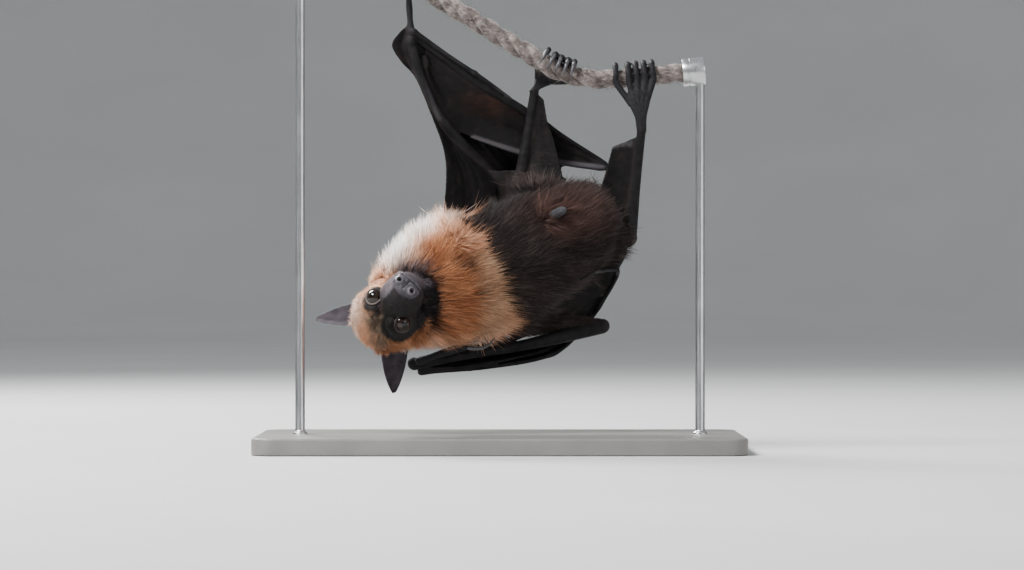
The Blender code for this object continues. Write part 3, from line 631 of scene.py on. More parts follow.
def held_by(name, mesh):
    """A new object that holds a mesh while modifiers work on it."""
    holder = bpy.data.objects.new(name, mesh)
    bpy.context.scene.collection.objects.link(holder)
    return holder


def fused(name, forms, voxel):
    """The forms grown together into one closed skin, in millimetres."""
    mesh = mixed_mesh(name, *joined(forms))
    work = bmesh.new()
    work.from_mesh(mesh)
    bmesh.ops.recalc_face_normals(work, faces=work.faces)
    work.to_mesh(mesh)
    work.free()
    holder = held_by(name, mesh)
    remesh = holder.modifiers.new("grown_together", "REMESH")
    remesh.mode = "VOXEL"
    remesh.voxel_size = voxel
    return applied(holder)


def applied(holder):
    """The mesh that an object's modifiers give. The object itself is removed."""
    graph = bpy.context.evaluated_depsgraph_get()
    mesh = bpy.data.meshes.new_from_object(holder.evaluated_get(graph))
    bpy.data.objects.remove(holder)
    return mesh


def places_of(mesh):
    places = np.empty(len(mesh.vertices) * 3, np.float32)
    mesh.vertices.foreach_get("co", places)
    return places.reshape(-1, 3).astype(float)


def place_again(mesh, places):
    mesh.vertices.foreach_set("co", places.astype(np.float32).ravel())
    mesh.update()


def normals_of(mesh):
    normals = np.empty(len(mesh.vertices) * 3, np.float32)
    mesh.vertex_normals.foreach_get("vector", normals)
    return normals.reshape(-1, 3).astype(float)


def edges_of(mesh):
    edges = np.empty(len(mesh.edges) * 2, np.int32)
    mesh.edges.foreach_get("vertices", edges)
    return edges.reshape(-1, 2)


def neighbour_sum(edges, column):
    """For each vertex, the sum of a value over the vertices that share an edge with it."""
    total = np.bincount(edges[:, 0], weights=column[edges[:, 1]], minlength=len(column))
    return total + np.bincount(edges[:, 1], weights=column[edges[:, 0]], minlength=len(column))


def relaxed(mesh, places, rounds, share=0.5, hollows_only=0.0):
    """Places drawn towards their neighbours. With hollows_only, just in creases sharper than that,
    which fills them with a soft fillet."""
    edges = edges_of(mesh)
    degree = np.maximum(np.bincount(edges.ravel(), minlength=len(places)), 1)[:, None]
    for _ in range(rounds):
        total = np.stack([neighbour_sum(edges, places[:, k]) for k in range(3)], 1)
        step = total / degree - places
        if hollows_only:
            place_again(mesh, places)
            hollow = (step * normals_of(mesh)).sum(1)
            step = step * np.clip(hollow / hollows_only, 0, 1)[:, None]
        places = places + step * share
    return places


def rise(value, low, high):
    """0 below low, 1 above high, and a smooth step between."""
    t = np.clip((value - low) / (high - low), 0, 1)
    return t * t * (3 - 2 * t)


def hill(distance, width):
    """1 at no distance, falling off smoothly on both sides."""
    return np.exp(-((distance / width) ** 2))


def beside_line(places, start, end):
    """How far places stand from the straight line between two points."""
    start, end = np.asarray(start, float), np.asarray(end, float)
    along = np.clip(((places - start) @ (end - start)) / ((end - start) @ (end - start)), 0, 1)
    return np.linalg.norm(places - start - along[:, None] * (end - start), axis=1)


HEAD_SECTIONS = [
    (28.0, 3.6, -3.8, -8.6),
    (27.2, 5.6, -2.3, -11.0),
    (24.5, 8.2, -1.3, -16.2),
    (19.5, 9.6, 0.1, -19.4),
    (13.0, 10.9, 1.5, -21.0),
    (7.0, 12.4, 3.2, -21.6),
    (1.0, 13.6, 6.2, -21.8),
    (-6.0, 16.2, 10.2, -21.6),
    (-13.0, 17.8, 12.8, -20.4),
    (-20.0, 17.6, 12.8, -19.0),
    (-25.5, 15.2, 10.0, -15.5),
    (-30.0, 10.2, 5.0, -11.0),
    (-32.4, 5.0, 1.0, -6.0),
]
EYE_RADIUS = 5.6
LID_RADIUS = 6.35
EYES = {1: head_place(-0.4, 0, 11.0), -1: head_place(-0.4, 0, -11.0)}
GAZE = {way: unit(NOSE_WAY * 0.81 + CROWN_WAY * 0.34 + LEFT_WAY * way * 0.46) for way in (1, -1)}
NOSTRIL = {way: (head_place(24.0, -5.6, way * 3.4), head_place(27.7, -5.3, way * 4.8)) for way in (1, -1)}
NOSE_PAD = ((24.9, -5.6, 0), (3.5, 3.3, 6.6))
EYE_MOUNDS = ((0, LID_RADIUS), (2.9, 7.5), (5.4, 10.2))
BROW_RIDGE = ((-1.0, 5.2, 8.6), (7.0, 3.6, 5.0))
CHEEK = ((-9.0, -8.0, 10.5), (11.0, 10.0, 7.4))
MUZZLE_SIDE = ((20.0, -7.2, 5.4), (5.5, 4.2, 4.2))
NOSTRIL_DEPTH = 3.0
NOSTRIL_RIM = 0.22
GROOVE_DEPTH = 0.95
LIP_GAP = 0.42
CHIN_RISE = 0.5
FOLD_RISE = 0.10
PORE_RISE = 0.05
PORE_WAYS = ((3.1, 2.3, 1.7), (-1.9, 2.9, 2.5), (2.2, -1.3, 3.3))
LIP_ALONG = [6, 12, 20, 25, 28]
LIP_HEIGHT = [-12.6, -11.8, -11.4, -11.0, -10.4]
LIPS = ((-1.25, 0.8, 0.42), (1.3, 0.9, 0.45))
NAPE_RADII = [12, 13, 17]
NOSTRIL_RADII = [3.3, 2.3]
EAR_ROLL = (128, 48)
EAR_FLESH = (0.52, 0.5)
EAR_RIB = 0.10
EAR_ROOT = (-24.0, 0.5, 14.5)
EAR_TIP = (-44.5, 15.6, 34.1)
EAR_WIDTH = 9.6


def ear_ends(way):
    """The middle of the ear's root, and its tip."""
    return [head_place(nose, crown, way * left) for nose, crown, left in (EAR_ROOT, EAR_TIP)]


def ear_form(way):
    """A pointed leaf rolled round its own length, thick at the root and thin at its edge."""
    root, tip = ear_ends(way)
    length = np.linalg.norm(tip - root)
    along = (tip - root) / length
    opening = NOSE_WAY * 0.75 + LEFT_WAY * way * 0.5 - CROWN_WAY * 0.1
    opening = unit(opening - opening.dot(along) * along)
    across = np.cross(along, opening)
    t = np.linspace(0, 0.985, 45)[:, None]
    s = np.linspace(-0.5, 0.5, 41)[None]
    width = EAR_WIDTH * (1 - t**2.0) ** 0.8 * (1.12 - 0.02 * t) + 0.4
    roll = np.radians(EAR_ROLL[0] - EAR_ROLL[1] * t)
    bend = width / np.maximum(np.sin(np.maximum(roll / 2, 0.2)), 0.2)
    turn = roll * s
    sheet = root + along * (length * t)[..., None] + across * (bend * np.sin(turn))[..., None]
    sheet = sheet - opening * (bend * (np.cos(turn) - np.cos(roll / 2)))[..., None]
    normal = sheet_normals(sheet)
    ribs = EAR_RIB * np.sin(t * 46) * hill(s, 0.28) * (1 - t)
    thick = (EAR_FLESH[0] + EAR_FLESH[1] * (1 - t) ** 3) * (1 - 0.25 * (2 * np.abs(s)) ** 6)
    return closed_sheet(sheet + normal * (thick + ribs)[..., None], sheet - normal * thick[..., None])


def head_coordinates(places):
    """Places in the head's own frame: towards the nose, the crown and the left, from between the eyes."""
    return (places - EYE_MIDDLE) @ HEAD_AXES.T


def lip_line(nose):
    """How high the closed mouth runs along the side of the muzzle, in the head's own frame."""
    return np.interp(nose, LIP_ALONG, LIP_HEIGHT)


def with_lids(places, way):
    """A rim of lid round one eye, with the skin sunk behind the eyeball inside it."""
    gaze = GAZE[way]
    out = places - EYES[way]
    far = np.linalg.norm(out, axis=1)
    level = unit(NOSE_WAY - NOSE_WAY.dot(gaze) * gaze)
    above = np.cross(gaze, level) * way
    angle = np.arccos(np.clip(out @ gaze / np.maximum(far, 1e-6), -1, 1))
    bearing = np.arctan2(out @ above, out @ level)
    opening = np.radians(51 + 7 * np.cos(bearing) ** 2 - 4 * np.sin(bearing) * way)
    near = 1 - rise(far, 9.5, 11.5)
    rim = LID_RADIUS - 0.15
    rim = rim + 0.28 * hill(angle - opening - 0.09, 0.09) - 0.16 * hill(angle - opening - 0.29, 0.09)
    sunk = 1 - rise(angle, opening - 0.06, opening + 0.05)
    held = near * (1 - rise(angle, opening + 0.2, opening + 0.5))
    wanted = np.where(far > rim, far + (rim - far) * 0.85, far + (rim - far) * rise(far, 4.6, 6.2))
    wanted = wanted + (EYE_RADIUS - 1.1 - wanted) * sunk
    share = np.clip(np.maximum(held, sunk * near), 0, 1)
    return EYES[way] + out / np.maximum(far, 1e-6)[:, None] * (far + (wanted - far) * share)[:, None]


def nostril_frame(places, way):
    """The way that a nostril opens, and how far places lie along it and beside it."""
    inner, outer = NOSTRIL[way]
    axis = unit(outer - inner + NOSE_WAY * 1.0)
    out = places - outer
    along = out @ axis
    return axis, along, np.linalg.norm(out - along[:, None] * axis, axis=1)


def with_nose_and_lips(places, normal):
    """Nostrils with raised rims, the groove between them, the lips, chin, folds and pores."""
    nose, crown, left = head_coordinates(places).T
    for way in (1, -1):
        axis, along, wide = nostril_frame(places, way)
        pit = (1 - rise(wide, 0.85, 1.75)) * rise(along, -2.6, -0.6)
        places = places - axis * (pit * NOSTRIL_DEPTH)[:, None]
        ring = hill(wide - 2.0, 0.5) * rise(along, -2.0, 0.0)
        places = places + normal * (ring * NOSTRIL_RIM)[:, None]
    front = rise(nose, 22.5, 25.5)
    groove = hill(left, 0.75) * front * rise(crown, -11.5, -9.5) * (1 - rise(crown, -3.4, -1.6))
    places = places - normal * (groove * GROOVE_DEPTH)[:, None]
    lip = lip_line(nose)
    mouth = rise(nose, 5.0, 10.0) * rise(np.abs(left) + front * 20, 3.0, 5.0)
    places = places - normal * (hill(crown - lip, LIP_GAP) * mouth * GROOVE_DEPTH)[:, None]
    lips = sum(hill(crown - lip + below, wide) * height for below, wide, height in LIPS)
    places = places + normal * (lips * mouth)[:, None]
    chin = hill(nose - 21.5, 3.6) * hill(crown + 17.0, 3.0) * hill(left, 4.2)
    places = places + normal * (chin * CHIN_RISE)[:, None]
    folds = np.sin(nose * 2.1 + 0.5 * crown + 1.8 * np.sin(left * 0.8))
    folds = folds * (0.5 + 0.5 * np.sin(left * 1.3 + crown))
    folds = folds * rise(nose, 6, 12) * (1 - rise(nose, 20, 24)) * rise(crown, -10, -6)
    places = places + normal * (folds * FOLD_RISE)[:, None]
    pores = 1.0
    for way in PORE_WAYS:
        pores = pores * np.sin(places @ np.array(way))
    return places + normal * (pores * PORE_RISE * rise(nose, 8, 16))[:, None]


def make_head_skin():
    """The skull, nose pad, cheeks, ears and nape grown into one skin, then lids, nose and lips."""
    stations = [
        (head_place(nose, (top + low) / 2, 0), half, half, (top - low) / 2, (top - low) / 2)
        for nose, half, top, low in HEAD_SECTIONS
    ]
    forms = [oval_loft(stations, LEFT_WAY, CROWN_WAY, 90, 72), egg(head_place(*NOSE_PAD[0]), NOSE_PAD[1])]
    for way in (1, -1):
        forms.append(limb(NOSTRIL[way], NOSTRIL_RADII, 12, 24))
        for behind, radius in EYE_MOUNDS:
            forms.append(egg(EYES[way] - GAZE[way] * behind, (radius,) * 3, sides=40))
        for (nose, crown, left), radii in (BROW_RIDGE, CHEEK, MUZZLE_SIDE):
            forms.append(egg(head_place(nose, crown, way * left), radii))
        forms.append(ear_form(way))
    nape = [head_place(-14, -8, 0), head_place(-20, -12, 0), (-52, -14, 92)]
    forms.append(limb(nape, NAPE_RADII, 20, 40))
    mesh = fused("head_skin", forms, HEAD_VOXEL)
    places = relaxed(mesh, places_of(mesh), 10, hollows_only=0.03)
    places = relaxed(mesh, places, 2)

    for way in (1, -1):
        places = with_lids(places, way)
    place_again(mesh, places)
    place_again(mesh, with_nose_and_lips(places, normals_of(mesh)))
    return mesh


MANTLE_SECTIONS = [
    ((-8.3, -2, 111.85), 38.5, 39.0, 28.5, 30.5),
    ((-12, -3, 110), 41.8, 40.0, 29.5, 31.5),
    ((-20, -6, 106.5), 44.5, 40.0, 29.5, 32),
    ((-30, -9, 102), 45.5, 39.5, 29, 32),
    ((-41, -13, 96.5), 42.5, 37.5, 27, 32),
    ((-52, -18, 91), 38.0, 34.0, 23, 31),
    ((-62, -23, 86), 32.5, 30.0, 14, 29),
    ((-71, -25, 80.5), 26.0, 24.0, 9, 23),
]
MANTLE_COAT = [11, 12, 13, 13.5, 13, 12, 10, 9]
TRUNK_SECTIONS = [
    ((70, 5, 152), 7.0, 7.0, 8, 8),
    ((66, 4, 150.5), 16.0, 17.5, 16, 15),
    ((57, 3, 146), 24.0, 26.0, 22, 22),
    ((44, 2, 139), 29.0, 33.0, 26, 27),
    ((27, 0, 130), 32.5, 37.5, 28, 30),
    ((9, -1, 120), 34.0, 38.5, 29, 31),
    ((-8, -2, 112), 36.5, 38.5, 28.5, 30.5),
    ((-14, -4, 109), 36.5, 38.5, 28.5, 30.5),
]
TRUNK_COAT = [3.5, 6, 7.5, 8, 8, 8.5, 10, 12]
FOREARM_RADII = [3.6, 2.8, 3.2, 4.1, 4.8]
UPPER_ARM_RADII = [4.4, 5.6, 8.0]
SHIN_RADII = [2.8, 3.3, 4.5]
THIGH_RADII = [5.0, 7.4, 9.0]
SHEATH_PATH = [(29.5, -15, 143), (34.5, -24, 146), (38.3, -29.2, 148.0)]
SHEATH_RADII = [4.8, 3.4, 2.6]
SHEATH_TIP = ((39.6, -31.0, 148.6), (1.2, 1.7, 1.7))
FOREARM_BOW = {
    "left": [(-47.5, 9, 227.5), (-35.0, 13, 204.0), (-11.5, 24.5, 177.5)],
    "right": [(-20.0, 0, 59.0), (22.0, 7, 66.5)],
}
FINGERS = {
    "left": {
        2: [(-53.5, 5.0, 259.5), (-30, 8.8, 243.5), (-8.0, 12.0, 229.0), (6.0, 15.0, 219.5)],
        3: [(-53.0, 8.0, 256.5), (-14.5, 14.5, 228.0), (18.6, 21, 209.2), (44, 26, 192.5),
            (66.5, 29.0, 178.0), (64.0, 27.5, 175.4), (37.2, 25.5, 178.8), (11.8, 23.5, 185.0),
            (-18.0, 21.0, 194.6)],
        4: [(-53.5, 11.5, 254.0), (-22, 22, 224.0), (7.4, 31.5, 194.0), (24.0, 36, 181.0),
            (41.0, 38.5, 168.5)],
        5: [(-53.5, 12.5, 250.0), (-26, 24, 211.0), (0.5, 34.5, 177.0), (12.0, 41, 166.0),
            (27.0, 44.5, 159.5)],
    },
    "right": {
        2: [(-49.0, 0.5, 50.0), (-22, 5.0, 51.5), (2, 9.5, 55.5), (14, 12.0, 58.0)],
        3: [(-49.0, 3.0, 48.5), (-10, 9.5, 51.0), (31, 21, 58.5), (52, 38, 75.0),
            (66.0, 33.0, 95.0), (73.4, 17.0, 109.5), (70.0, 9.5, 112.0), (59.0, -4.5, 110.5),
            (49.5, -15.0, 105.5)],
        4: [(-48.5, 5.6, 51.5), (-10, 13.0, 54.5), (30, 25, 62.0), (46, 39, 77.0), (60.0, 38, 93.0)],
        5: [(-48.0, 7.4, 55.0), (-10, 16.0, 58.5), (26, 28, 66.0), (40, 38.5, 79.0), (53.0, 41, 90.0)],
    },
}
FINGER_STEPS = 90
FINGER_ROOT = 1.9
FINGER_SHAFT = 1.4
FINGER_TIP = {2: 0.7, 3: 0.75, 4: 0.75, 5: 0.75}
KNUCKLES = dict.fromkeys((2, 4, 5), [(0.0, 0.55, 0.022), (0.62, 0.55, 0.022)])
KNUCKLES[3] = [(0.0, 0.55, 0.022), (0.42, 0.55, 0.022), (0.645, 0.35, 0.02)]
LEFT_THUMB = [(-55.4, 7.5, 258.5), (-56.2, 8.6, 270), (-56.8, 8.6, 281)]
RIGHT_THUMB = [(-49.5, -8.5, 55.5), (-40, -13.5, 58.5), (-29, -15.5, 61.8), (-20.5, -15.5, 63.6)]
THUMB_RADII = {"left": [2.9, 1.9, 2.1, 1.7, 1.9, 1.6, 1.5], "right": [2.8, 2.0, 2.2, 1.75]}
THUMB_WRAP = (-8, 35, 75, 110)
THUMB_GRIP_X = -56.0
THUMB_RING = 8.4
TOE_RING = 8.55
TOE_BENDS = (-22, 15.5, 53, 90.5, 128)
TENDON_RISE = np.array([(0, -2.0, 0), (0, -2.6, 0), (0, -1.3, 0)])
TOE_RADII = [2.1, 1.95, 2.05, 1.75, 1.95, 1.7]
TOES = {
    "left": [(25.5, (23.5, 13.0, 231)), (30.0, (26.5, 13.0, 231.5)), (34.6, (29.0, 13.2, 231.5)),
             (39.4, (31.5, 13.2, 230.5)), (44.0, (33.5, 12.8, 229))],
    "right": [(71.5, (81.0, -9.6, 214)), (79.6, (82.2, -10.2, 217)), (84.6, (85.0, -10.4, 218)),
              (89.6, (88.0, -10.4, 218)), (94.4, (91.0, -10.2, 217))],
}
FOOT_BALL = {"left": (28.0, 13.0, 231.0), "right": (86.4, -10.0, 215.5)}
WEB_EDGES = {
    "arm_front": (
        [(-57.5, 7.5, 264), (-63.5, 7.5, 258.5), (-67.3, 7.5, 251), (-61.5, 7.8, 241), (-53.0, 8.2, 232),
         (-42.0, 9.0, 206), (-35.0, 4.0, 186), (-33.5, -2.0, 168), (-35.5, -6.0, 143)],
        [(-55.0, 7.5, 262), (-56.0, 7.4, 258), (-56.0, 7.2, 253), (-52.5, 8, 243), (-47.5, 9, 227.5),
         (-35.0, 13, 204.0), (-20.0, 19, 186), (-4.0, 22, 168), (-2.0, 14, 142)],
    ),
    "folded_tip": (
        [(-46.5, 10.0, 249.5), (-14.5, 14.6, 227.8), (18.6, 21, 209.0), (44, 26, 192.3),
         (63.0, 28.3, 180.0)],
        [(-46.5, 10.5, 240.0), (-36.5, 12.5, 206.5), (-18.0, 21.0, 194.6), (11.8, 23.5, 185.0),
         (37.2, 25.5, 178.9), (60.0, 27.4, 176.2)],
    ),
    "tip_gap": (
        [(3.0, 14.4, 221.0), (16, 17.4, 213.6), (30, 22.0, 203.5), (46, 26, 191.0)],
        [(2.0, 17.0, 216.5), (16, 20.4, 208.0), (30, 23.4, 199.0), (44, 26.2, 190.5)],
    ),
    "arm_to_fifth": (
        [(-49.5, 8.5, 238.0), (-35.0, 13, 204.0), (-11.5, 24.5, 177.5), (12.0, 39, 154.0)],
        [(-46.0, 15.0, 240.0), (-26, 24, 211.0), (0.5, 34.5, 177.0), (12.5, 41, 165.5)],
    ),
    "left_flank": (
        [(21.0, 13.4, 221), (17.0, 18, 196), (14.0, 21.5, 172), (20.0, 22.0, 158), (4.0, 22, 140)],
        [(39.0, 41.0, 176), (34.0, 44, 168), (27.0, 46.5, 157.5), (20.0, 47.5, 154), (12.0, 40.0, 150)],
    ),
    "left_shoulder": (
        [(13.5, 22, 174), (12, 22.5, 160), (5, 22, 142)],
        [(-9, 21.5, 174), (-5, 20, 158), (-3, 15, 142)],
    ),
    "right_arm_front": (
        [(-46.0, -5.5, 58.5), (-30.0, -4.0, 64.5), (-14.0, -3.0, 69.0), (-2.0, -1.5, 72.5)],
        [(-44.0, -2.2, 54.6), (-22.0, 0, 58.8), (0.0, 3.0, 62.5), (14.0, 6.5, 66.0)],
    ),
    "right_flank": (
        [(88.0, -8.0, 195), (85.5, 2, 165), (82.0, 8.5, 133), (62.0, 12, 127), (44.0, 15, 112),
         (26.0, 17, 96), (5.0, 14, 85)],
        [(74.5, 24.0, 112), (70.0, 31, 102), (64.0, 37, 94), (57.0, 38.0, 86), (42.0, 26.0, 79),
         (24.0, 12.0, 73), (6.0, 6.0, 66)],
    ),
    "left_leg": (
        [(22.5, 12.5, 222), (18.5, 16.0, 198), (15.0, 19.0, 180), (18.0, 17, 164)],
        [(27.2, 11.5, 218), (29.6, 11.0, 203), (33.0, 10.5, 194), (40.0, 8, 166)],
    ),
    "right_leg": (
        [(87.2, -9.0, 195), (85.6, -4.5, 174), (84.0, -0.5, 157), (80.0, 4.0, 140)],
        [(69.4, -5.6, 188.0), (65.8, -2.5, 174), (62.5, 0.5, 163), (58.0, 3, 146)],
    ),
}
WEB_FOLDS = {
    "arm_front": (110, 40, (0, 2.0, 0), 1.5, 0.35),
    "folded_tip": (110, 40, (-1, 5.0, -1), 2, 0.45),
    "second_to_third": (90, 16, (0, 0.8, 0), 1, 0.2),
    "tip_gap": (60, 8, (0, 0.3, 0), 1, 0.1),
    "third_to_fourth": (90, 30, (0, 1.5, 0), 2.5, 0.6),
    "fourth_to_fifth": (90, 26, (0, 1.5, 0), 2, 0.6),
    "arm_to_fifth": (80, 30, (0, 2, 0), 1.5, 0.5),
    "left_flank": (90, 50, (0, 3, -2), 2.5, 0.8),
    "left_shoulder": (40, 24, (0, 1.5, 0), 1, 0.3),
    "right_arm_front": (50, 14, (0, 1.0, 0), 1, 0.2),
    "right_third_to_fifth": (110, 36, (0, 2.5, -1.5), 3, 0.7),
    "right_fifth_to_arm": (90, 26, (0, 1.5, 0), 2, 0.5),
    "right_flank": (110, 60, (3, 5, 0), 3, 0.8),
    "left_leg": (70, 24, (0, 2, 0), 1.5, 0.35),
    "right_leg": (60, 30, (0, 2, 0), 1.5, 0.35),
}
LEFT_HAND_PADS = [((-47.4, 10.2, 240.5), (3.4, 0.8, 5.5)), ((62.0, 27.8, 178.3), (4.6, 0.8, 2.2))]
BEHIND_FINGERS = np.array([0, 2.2, -1.2])
SOLE = [(3.1, 2.8), (3.2, 2.7), (3.9, 2.7), (6.4, 2.6), (6.6, 2.0), (6.0, 1.2)]
TOE_PAD = (1.5, 1.3, 1.5)
TOE_PAD_BEND = 112
TOE_KNUCKLE = (2.35, 2.2, 1.9)
TENDON_RADII = [1.3, 1.1, 1.4]
WRIST_RADII = (4.3, 3.9, 4.3)


def around_rope(x, degrees, radius, toward_back):
    """A place beside the rope: 0 degrees is the side that a toe starts on, 90 the top, and 180 the
    far side."""
    route = smooth(ROPE_ROUTE, 400)
    near = 1 + np.abs(route[1:-1, 0] - x).argmin()
    along = unit(route[near + 1] - route[near - 1])
    up = np.array([-along[2], 0, along[0]])
    out = np.array([0, -1.0 if toward_back else 1.0, 0])
    angle = np.radians(degrees)
    return route[near] + (out * np.cos(angle) + up * np.sin(angle)) * radius


def foot_forms(side):
    """A foot: its sole from ankle to ball, and five toes with tendons, knuckles and a pad."""
    toward_back = side == "right"
    ball_of_foot, ankle = np.array(FOOT_BALL[side]), np.array(ANKLE[side], float)
    way = unit(ball_of_foot - ankle)
    middles = [ankle - way * 1.0, ankle + way * 1.5, (ankle + ball_of_foot) / 2, ball_of_foot]
    middles += [ball_of_foot + way * 3.5, ball_of_foot + way * 6.0]
    stations = [(middle, wide, wide, thick, thick) for middle, (wide, thick) in zip(middles, SOLE)]
    forms = [oval_loft(stations, np.array([1.0, 0, 0]), BELLY_WAY, 24, 28)]
    for x, knuckle in TOES[side]:
        path = [knuckle] + [around_rope(x, d, TOE_RING, toward_back) for d in TOE_BENDS]
        forms.append(limb(path, TOE_RADII, 44, 18))
        pad = around_rope(x, TOE_PAD_BEND, TOE_RING - 0.5, toward_back)
        forms.append(egg(pad, TOE_PAD, sides=12))
        tendon = [ankle, (ankle + knuckle) / 2, np.array(knuckle)] + TENDON_RISE
        forms.append(limb(tendon, TENDON_RADII, 30, 14))
        forms += [egg(place, TOE_KNUCKLE, sides=12) for place in (path[1], path[3])]
    return forms


def finger_form(side, number):
    """A long finger bone, a little thicker at its knuckles and thin at the tip."""
    path = FINGERS[side][number]
    radii = [FINGER_ROOT] + [FINGER_SHAFT] * (len(path) - 2) + [FINGER_TIP[number]]
    radii = blend_rows([(r,) for r in radii], FINGER_STEPS)[:, 0]
    share = np.linspace(0, 1, FINGER_STEPS)
    for knuckle, swell, wide in KNUCKLES[number]:
        radii = radii + swell * hill(share - knuckle, wide)
    return limb(path, radii, FINGER_STEPS, 16)


def edged_web(name):
    """A web between two edges that the tables give."""
    return web(*WEB_EDGES[name], *WEB_FOLDS[name])


def left_hand_forms(f):
    """The half open left hand: its thumb over the rope, and the webs from arm, fingers and flank."""
    wrap = [around_rope(THUMB_GRIP_X, turn, THUMB_RING, False) for turn in THUMB_WRAP]
    second, fourth, fifth = (smooth(f[number], 41) for number in (2, 4, 5))
    third_to_bend, third_past_bend = smooth(f[3][:4], 41), smooth(f[3][:5], 41)
    return [
        limb([*LEFT_THUMB, *wrap], THUMB_RADII["left"], 60, 18),
        edged_web("arm_front"),
        edged_web("folded_tip"),
        web(second[3:40], third_to_bend[3:36], *WEB_FOLDS["second_to_third"]),
        edged_web("tip_gap"),
        web(third_past_bend[4:38], fourth[4:38], *WEB_FOLDS["third_to_fourth"]),
        web(fourth[4:40], fifth[4:40], *WEB_FOLDS["fourth_to_fifth"]),
        edged_web("arm_to_fifth"),
        edged_web("left_flank"),
        *(egg(middle, radii, np.eye(3), 16) for middle, radii in LEFT_HAND_PADS),
        edged_web("left_shoulder"),
    ]


def right_hand_forms(f):
    """The folded right hand: its thumb on the chest, and the webs packed between arm and fingers."""
    third, fifth = np.array(f[3][:5]) + BEHIND_FINGERS, np.array(f[5]) + BEHIND_FINGERS
    arm = np.array([WRIST["right"], *FOREARM_BOW["right"], ELBOW["right"]]) + (0, 1.5, 0)
    return [
        limb(RIGHT_THUMB, THUMB_RADII["right"], 40, 18),
        edged_web("right_arm_front"),
        web(third, fifth, *WEB_FOLDS["right_third_to_fifth"]),
        web(fifth, arm, *WEB_FOLDS["right_fifth_to_arm"]),
        edged_web("right_flank"),
    ]


def wing_forms(side):
    """The arm's bones and muscle, the long fingers, and the hand's thumb and webs."""
    elbow, shoulder = ELBOW[side], SHOULDER[side]
    upper_arm = [elbow, np.add(shoulder, elbow) / 2 + (0, 3, -1), shoulder]
    forms = [
        limb([WRIST[side], *FOREARM_BOW[side], elbow], FOREARM_RADII, 70, 24),
        limb(upper_arm, UPPER_ARM_RADII, 40, 24),
        egg(WRIST[side], WRIST_RADII, sides=20),
    ]
    forms += [finger_form(side, number) for number in (2, 3, 4, 5)]
    return forms + (left_hand_forms if side == "left" else right_hand_forms)(FINGERS[side])


def make_body_skin():
    """Everything but the head grown into one skin: chest, trunk, sheath, legs, feet, wings and webs."""
    forms = [
        oval_loft(MANTLE_SECTIONS, TRUNK_LEFT, BELLY_WAY, 60, 60, MANTLE_COAT),
        oval_loft(TRUNK_SECTIONS, TRUNK_LEFT, BELLY_WAY, 60, 60, TRUNK_COAT),
        limb(SHEATH_PATH, SHEATH_RADII, 24, 24),
        egg(*SHEATH_TIP, sides=16),
    ]
    for side in ("left", "right"):
        knee, hip, ankle = (np.array(v[side], float) for v in (KNEE, HIP, ANKLE))
        forms.append(limb([ankle, (ankle + knee) / 2 + (0, 1.5, 0), knee], SHIN_RADII, 50, 24))
        forms.append(limb([knee, (knee + hip) / 2, hip], THIGH_RADII, 36, 28))
        forms += foot_forms(side) + wing_forms(side)
    forms += [edged_web("left_leg"), edged_web("right_leg")]
    mesh = fused("body_skin", forms, BODY_VOXEL)
    places = relaxed(mesh, places_of(mesh), 12, hollows_only=0.05)
    places = relaxed(mesh, places, 1, 0.4)
    place_again(mesh, places)
    holder = held_by("body_skin", mesh)
    holder.modifiers.new("fewer_faces", "DECIMATE").ratio = BODY_KEPT
    return applied(holder)


def make_skin():
    """Head and body joined into one seamless skin, in metres."""
    head, body = held_by("head_skin", make_head_skin()), held_by("body_skin", make_body_skin())
    union = body.modifiers.new("union", "BOOLEAN")
    union.operation = "UNION"
    union.solver = "MANIFOLD"
    union.object = head
    mesh = applied(body)
    bpy.data.objects.remove(head)
    place_again(mesh, places_of(mesh) * MM)
    mesh.name = "skin"
    return mesh


MANTLE_EDGE = [
    (73.8, -0.9),
    (81.5, 1.9),
    (91.1, -0.9),
    (106.3, -5.6),
    (121.5, -11.5),
    (133.9, -18.0),
    (148.2, -20.0),
]
FLANK_MIDDLE = (-58.9, 133.3)
FLANK_WAY = (0.786, 0.618)
THROAT_LINE = ((-38, 108), (-36, 90))
CHEST_LINE = ((-16, 108), (-14, 84))
STREAKS = (((-31, 112), (-24, 110)), ((-20, 100), (-20, 96)))
# Where the mask starts along the face, across it. It reaches further back on the right side, which is
# painted shade.
MASK_EDGE = ([-14.5, -8, 2.4, 9], [-3.0, 1.5, 6.2, 10.5])
# A dark patch round each eye: which eye, its radius and its offset. The right eye's larger patch is
# painted shade.
EYE_PATCHES = ((1, 8.2, (1.4, 0, -1.4)), (-1, 11.5, (0, 0, 0)))
CHIN_MIDDLE = (-55.5, 92.0)
CHIN_REACH = (16.8, 21.5)
GROIN = (38, -24, 146)
ZONES = ("head", "body", "limb", "ear", "foot", "bone", "web", "sheath")
ZONE_OF = {
    "head": 0, "neck": 1, "trunk": 1, "thigh": 2, "upper": 2, "ear": 3, "foot": 4, "thumb": 4,
    "shin": 5, "forearm": 5, "finger": 5, "sheath": 7,
}
# Of these, rim is a painted rim light, mask is the dark face with painted shade on its right side, and
# grey is painted light on the mask.
FUR_MARKS = ("gold", "cream", "orange", "mask_and_shade", "brow", "rufous", "tan", "rim", "grey")
